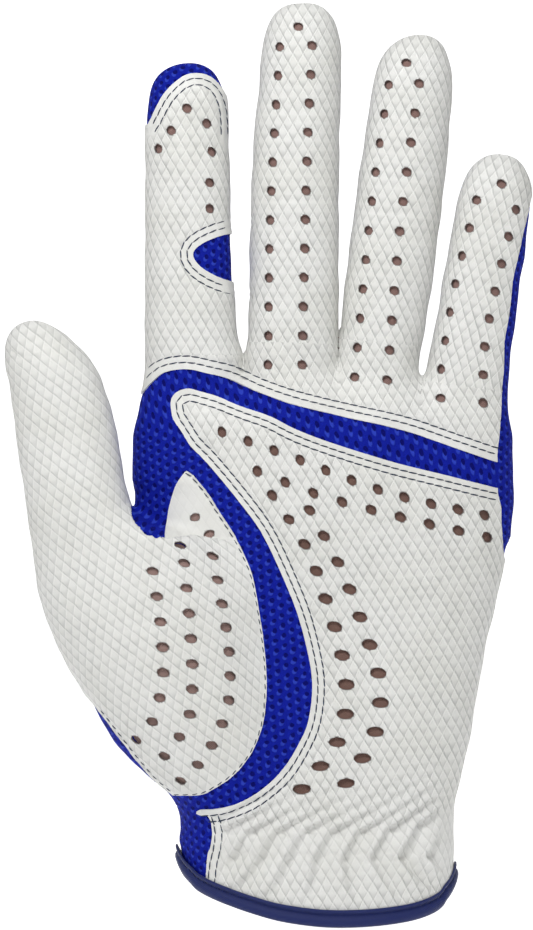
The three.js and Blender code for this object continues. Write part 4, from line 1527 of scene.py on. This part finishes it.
def wrist_ring(angles, rise):
    """Places on the wrist's surface and the ways out of it, at a height above the hem, all round."""
    x, y = np.zeros((2, len(angles)))
    for _ in range(6):
        z = hem_height(x, y) + rise
        cx, cy, wide, deep = section("palm", z)
        x = cx + wide * np.sign(np.sin(angles)) * np.abs(np.sin(angles)) ** (2 / ROUNDNESS)
        y = cy - deep * np.sign(np.cos(angles)) * np.abs(np.cos(angles)) ** (2 / ROUNDNESS)
    out = np.stack([np.sign(x - cx) * np.abs((x - cx) / wide) ** (ROUNDNESS - 1) / wide,
                    np.sign(y - cy) * np.abs((y - cy) / deep) ** (ROUNDNESS - 1) / deep], 1)
    out /= np.linalg.norm(out, axis=1)[:, None]
    return np.stack([x, y, z], 1), np.column_stack([out, np.zeros(len(x))])


def binding():
    """The folded tape round the cuff's hem, open at the slit, with its row of stitches in the groove."""
    angles = np.linspace(-math.pi + 0.125, math.pi - 0.045, 1800)
    places, _ = wrist_ring(angles, 1.5)
    length = runs(places)
    run = np.arange(0, length[-1], BINDING_STEP)
    angles = np.interp(run, length, angles)
    pinch = 0.5 + 0.5 * np.cos(2 * np.pi * run / BINDING_PITCH)
    rings = []
    for out, rise in BINDING_PROFILE:
        places, ways = wrist_ring(angles, rise)
        near = math.exp(-((rise - GROOVE_RISE) / 0.7) ** 2) * (out > 0.1)
        rings.append(places + ways * (out + FULLNESS + 0.15 * (out > 0) - 0.12 * near * pinch)[:, None])
    points = np.stack(rings, 1)
    count, sides = points.shape[:2]
    points = points.reshape(-1, 3)
    here, turned = ((np.arange(count - 1)[:, None] * sides + around_ring).ravel()
                    for around_ring in (np.arange(sides), np.roll(np.arange(sides), -1)))
    faces = np.vstack([np.stack([here, here + sides, turned], 1),
                       np.stack([turned, here + sides, turned + sides], 1)])
    # The two ends: the ring of the profile closed as strips between its outer and its inner half.
    pairs = [(k, sides - 1 - k) for k in range(sides // 2)]
    caps = []
    for (a, b), (c, d) in zip(pairs[:-1], pairs[1:]):
        caps += [(a, c, b), (b, c, d)]
    caps = np.array(caps)
    faces = np.vstack([faces, caps, caps[:, ::-1] + (count - 1) * sides])
    girth = runs(BINDING_PROFILE)
    pattern = np.stack([np.repeat(run, sides), np.tile(girth, count), np.zeros(count * sides)], 1)
    add_piece("cuff_binding_tape", points, faces, pattern, BINDING_CLOTH, node="cuff_binding", sharp=50)

    middle, ways = wrist_ring(angles, GROOVE_RISE + 0.03)
    line = middle + ways * (FULLNESS + 0.42)
    tube("cuff_binding_stitches", stitches_along(line, BINDING_PITCH, 1.55), 0.15, BLUE_THREAD)


def stitches_along(line, pitch, length):
    """Short stretches of a line in space, one for each stitch, dipping in at their ends."""
    run = runs(line)
    steps = np.linspace(-length / 2, length / 2, 5)
    return [np.stack([np.interp(at + steps, run, line[:, k]) for k in range(3)], 1)
            for at in np.arange(pitch / 2, run[-1] - pitch / 2, pitch)]


def tube(name, lines, radius, material):
    """Round tubes along short lines in space, thinner at their ends, as one piece on the hand."""
    points, faces = [], []
    total = 0
    for line in lines:
        count = len(line)
        along = np.gradient(line, axis=0)
        along /= np.linalg.norm(along, axis=1)[:, None]
        side = np.cross(along, (0.3, 0.2, 1.0))
        side /= np.linalg.norm(side, axis=1)[:, None]
        other = np.cross(along, side)
        thin = radius * np.sin(np.pi * np.linspace(0.12, 0.88, count)) ** 0.5
        points.append(tube_points(line, thin, side, other))
        faces += tube_faces(total, count)
        total += count * STITCH_SIDES
    points, faces = np.vstack(points), np.vstack(faces)
    pattern = np.stack([points[:, 0], points[:, 2], np.zeros(len(points))], 1)
    add_piece(name, points, faces, pattern, material, sharp=60)


def rectangle(x_low, x_high, z_low, z_high):
    """The corners of a rectangle, seen from the palm."""
    return [(x_low, z_low), (x_high, z_low), (x_high, z_high), (x_low, z_high)]


def seam_round(box, inset):
    """The closed line of a seam that runs this far inside the edges of a rectangle."""
    x_low, x_high, z_low, z_high = box
    corners = rectangle(x_low + inset, x_high - inset, z_low + inset, z_high - inset)
    return np.array(corners + corners[:1], float)


# Closure: a tab across the slit, sewn on at its root, with hook-and-loop under its free end.
TAB_LOW, TAB_HIGH = 13.0, 38.0
TAB_ROOT, TAB_HINGE, TAB_TIP = -27.0, -19.0, 25.0
TAB_LAYER = (4.2, 2.6)
HOOK_PATCH, LOOP_PATCH = (6.5, 17, 15, 36), (5.5, 24, 14, 37)
LOOP_TOP = 1.1              # the loop patch rises this far from the back
TAB_GAP = 0.15              # half the gap between the sewn root and the part that lifts


def tab_outline():
    """The free part of the tab: straight to its rounded end."""
    radius = (TAB_HIGH - TAB_LOW) / 2
    middle = (TAB_TIP - radius, (TAB_LOW + TAB_HIGH) / 2)
    arc = [(middle[0] + radius * math.cos(t), middle[1] + radius * math.sin(t))
           for t in np.linspace(-math.pi / 2, math.pi / 2, 25)]
    return [(TAB_HINGE + TAB_GAP, TAB_LOW)] + arc + [(TAB_HINGE + TAB_GAP, TAB_HIGH)]


def cuff():
    """The binding, the elastic tapes under the shirring and the facing of the slit."""
    binding()
    wrist = piece_of((-60, -40, -20), (60, 6, 70))
    for node, box in ELASTIC_BOXES.items():
        panel(node + "_tape", wrist, [palm_side(), within(rectangle(*box))], ELASTIC, ELASTIC_CLOTH,
              node=node, surface="palm", rounded=0.1)
    back = piece_of((-60, -10, -20), (60, 40, 70))
    regions = [within(SLIT_FACING), outside(SLIT), above_hem(BINDING_HEIGHT + 0.2)]
    panel("slit_facing_tape", back, regions, (0.75, -0.5), BINDING_CLOTH, node="slit_facing", surface="palm",
          back=True, rounded=0.25)


def closure():
    """The tab with its sewn root, and the hook-and-loop under its free end."""
    back = piece_of((-60, -4, -10), (60, 40, 60))
    root = rectangle(TAB_ROOT, TAB_HINGE - TAB_GAP, TAB_LOW, TAB_HIGH)
    under = TAB_LAYER[1] + 0.05
    for name, node, region, layer, material, body in (
        ("root_patch", "tab_root_patch", within(root, -0.4), (under, 0.0), BACK_LEATHER, "hand"),
        ("root_strip", "tab_root", within(root), TAB_LAYER, TAB_LEATHER, "hand"),
        ("tab_leather", "tab", within(tab_outline()), TAB_LAYER, TAB_LEATHER, "tab"),
        ("hook_pile", "hook_patch", within(rectangle(*HOOK_PATCH)), (under, 1.4), HOOK_PILE, "tab"),
        ("loop_pile", "loop_patch", within(rectangle(*LOOP_PATCH)), (LOOP_TOP, 0.0), LOOP_PILE, "hand"),
    ):
        panel("closure_" + name, back, [region], layer, material, body, "closure_" + node, surface="palm",
              back=True, rounded=0.4)
    stitch_row("closure_tab_stitches", [beside(np.array(tab_outline()), 1.6)], THREAD, "tab", side=1,
               depth=TAB_LAYER[0])
    seam = seam_round((TAB_ROOT, TAB_HINGE, TAB_LOW, TAB_HIGH), 1.4)
    stitch_row("closure_root_stitches", [seam], THREAD, side=1, depth=TAB_LAYER[0])
    stitch_row("closure_loop_stitches", [seam_round(LOOP_PATCH, 0.9)], WHITE_THREAD, side=1, depth=LOOP_TOP)


cuff()
closure()

# ------------------------------------------------------------------ studio


# A white sweep whose wall glows behind the glove and fades towards its rims.
SWEEP_FLOOR, SWEEP_FRONT, SWEEP_WALL = -4.2, -9000.0, 3700.0
SWEEP_WIDE, SWEEP_HIGH, SWEEP_BEND, SWEEP_STEPS = 9000.0, 7000.0, 500.0, 12
GLOW_CENTRE, GLOW_EDGES, GLOW_LEVELS = (0.0, 1.9, 0.1), (1.84, 2.0), (0.8, 0.03)
EYE = (-12.9, -1297.7, 115.0)


def studio():
    """The sweep, the air, three lamps and the camera."""
    scene = bpy.context.scene
    paper = bpy.data.materials.new("studio_paper")
    paper.use_nodes = True
    shader = paper.node_tree.nodes["Principled BSDF"]
    shader.inputs["Base Color"].default_value = (0.9, 0.9, 0.9, 1)
    shader.inputs["Roughness"].default_value = 0.9
    shader.inputs["Emission Color"].default_value = (1, 1, 1, 1)
    glow = paper.node_tree.nodes
    place = glow.new("ShaderNodeTexCoord")
    centred = glow.new("ShaderNodeVectorMath")
    centred.operation = "DISTANCE"
    centred.inputs[1].default_value = GLOW_CENTRE
    fade = glow.new("ShaderNodeMapRange")
    fade.interpolation_type = "SMOOTHSTEP"
    for socket, value in zip(("From Min", "From Max", "To Min", "To Max"), GLOW_EDGES + GLOW_LEVELS):
        fade.inputs[socket].default_value = value
    link = paper.node_tree.links.new
    link(place.outputs["Object"], centred.inputs[0])
    link(centred.outputs["Value"], fade.inputs["Value"])
    link(fade.outputs[0], shader.inputs["Emission Strength"])
    profile = [(SWEEP_FRONT, SWEEP_FLOOR)]
    for angle in np.linspace(0, math.pi / 2, SWEEP_STEPS + 1):
        profile.append((SWEEP_WALL - SWEEP_BEND * (1 - math.sin(angle)),
                        SWEEP_FLOOR + SWEEP_BEND * (1 - math.cos(angle))))
    profile.append((SWEEP_WALL, SWEEP_HIGH))
    points, faces = [], []
    for k, (y, z) in enumerate(profile):
        points += [(-SWEEP_WIDE * MM, y * MM, z * MM), (SWEEP_WIDE * MM, y * MM, z * MM)]
        if k:
            faces.append((2 * k - 2, 2 * k - 1, 2 * k + 1, 2 * k))
    mesh = bpy.data.meshes.new("studio_sweep")
    mesh.from_pydata(points, [], faces)
    mesh.shade_smooth()
    mesh.materials.append(paper)
    sweep = bpy.data.objects.new("studio_sweep", mesh)
    scene.collection.objects.link(sweep)

    world = bpy.data.worlds.new("studio_air")
    world.use_nodes = True
    world.node_tree.nodes["Background"].inputs[0].default_value = (1, 1, 1, 1)
    world.node_tree.nodes["Background"].inputs[1].default_value = 0.38
    scene.world = world

    def lamp(name, place, size, watts):
        light = bpy.data.lights.new(name, "AREA")
        light.shape = "DISK"
        light.size = size * MM
        light.energy = watts
        made = bpy.data.objects.new(name, light)
        made.location = Vector(place) * MM
        made.rotation_euler = (Vector((-8, 0, 115)) * MM - made.location).to_track_quat("-Z", "Y").to_euler()
        scene.collection.objects.link(made)

    lamp("key_light", (-120, -430, 490), 240, 1.95)
    lamp("fill_light", (420, -760, 300), 450, 0.35)
    lamp("back_light", (200, 600, 700), 500, 0.6)

    camera = bpy.data.cameras.new("camera")
    camera.lens = 200
    camera.sensor_width = 36
    camera.clip_start, camera.clip_end = 0.05, 20
    eye = bpy.data.objects.new("camera", camera)
    eye.location = Vector(EYE) * MM
    eye.rotation_euler = (math.pi / 2, 0, 0)
    scene.collection.objects.link(eye)
    scene.camera = eye
    scene.view_settings.view_transform = "Standard"


studio()
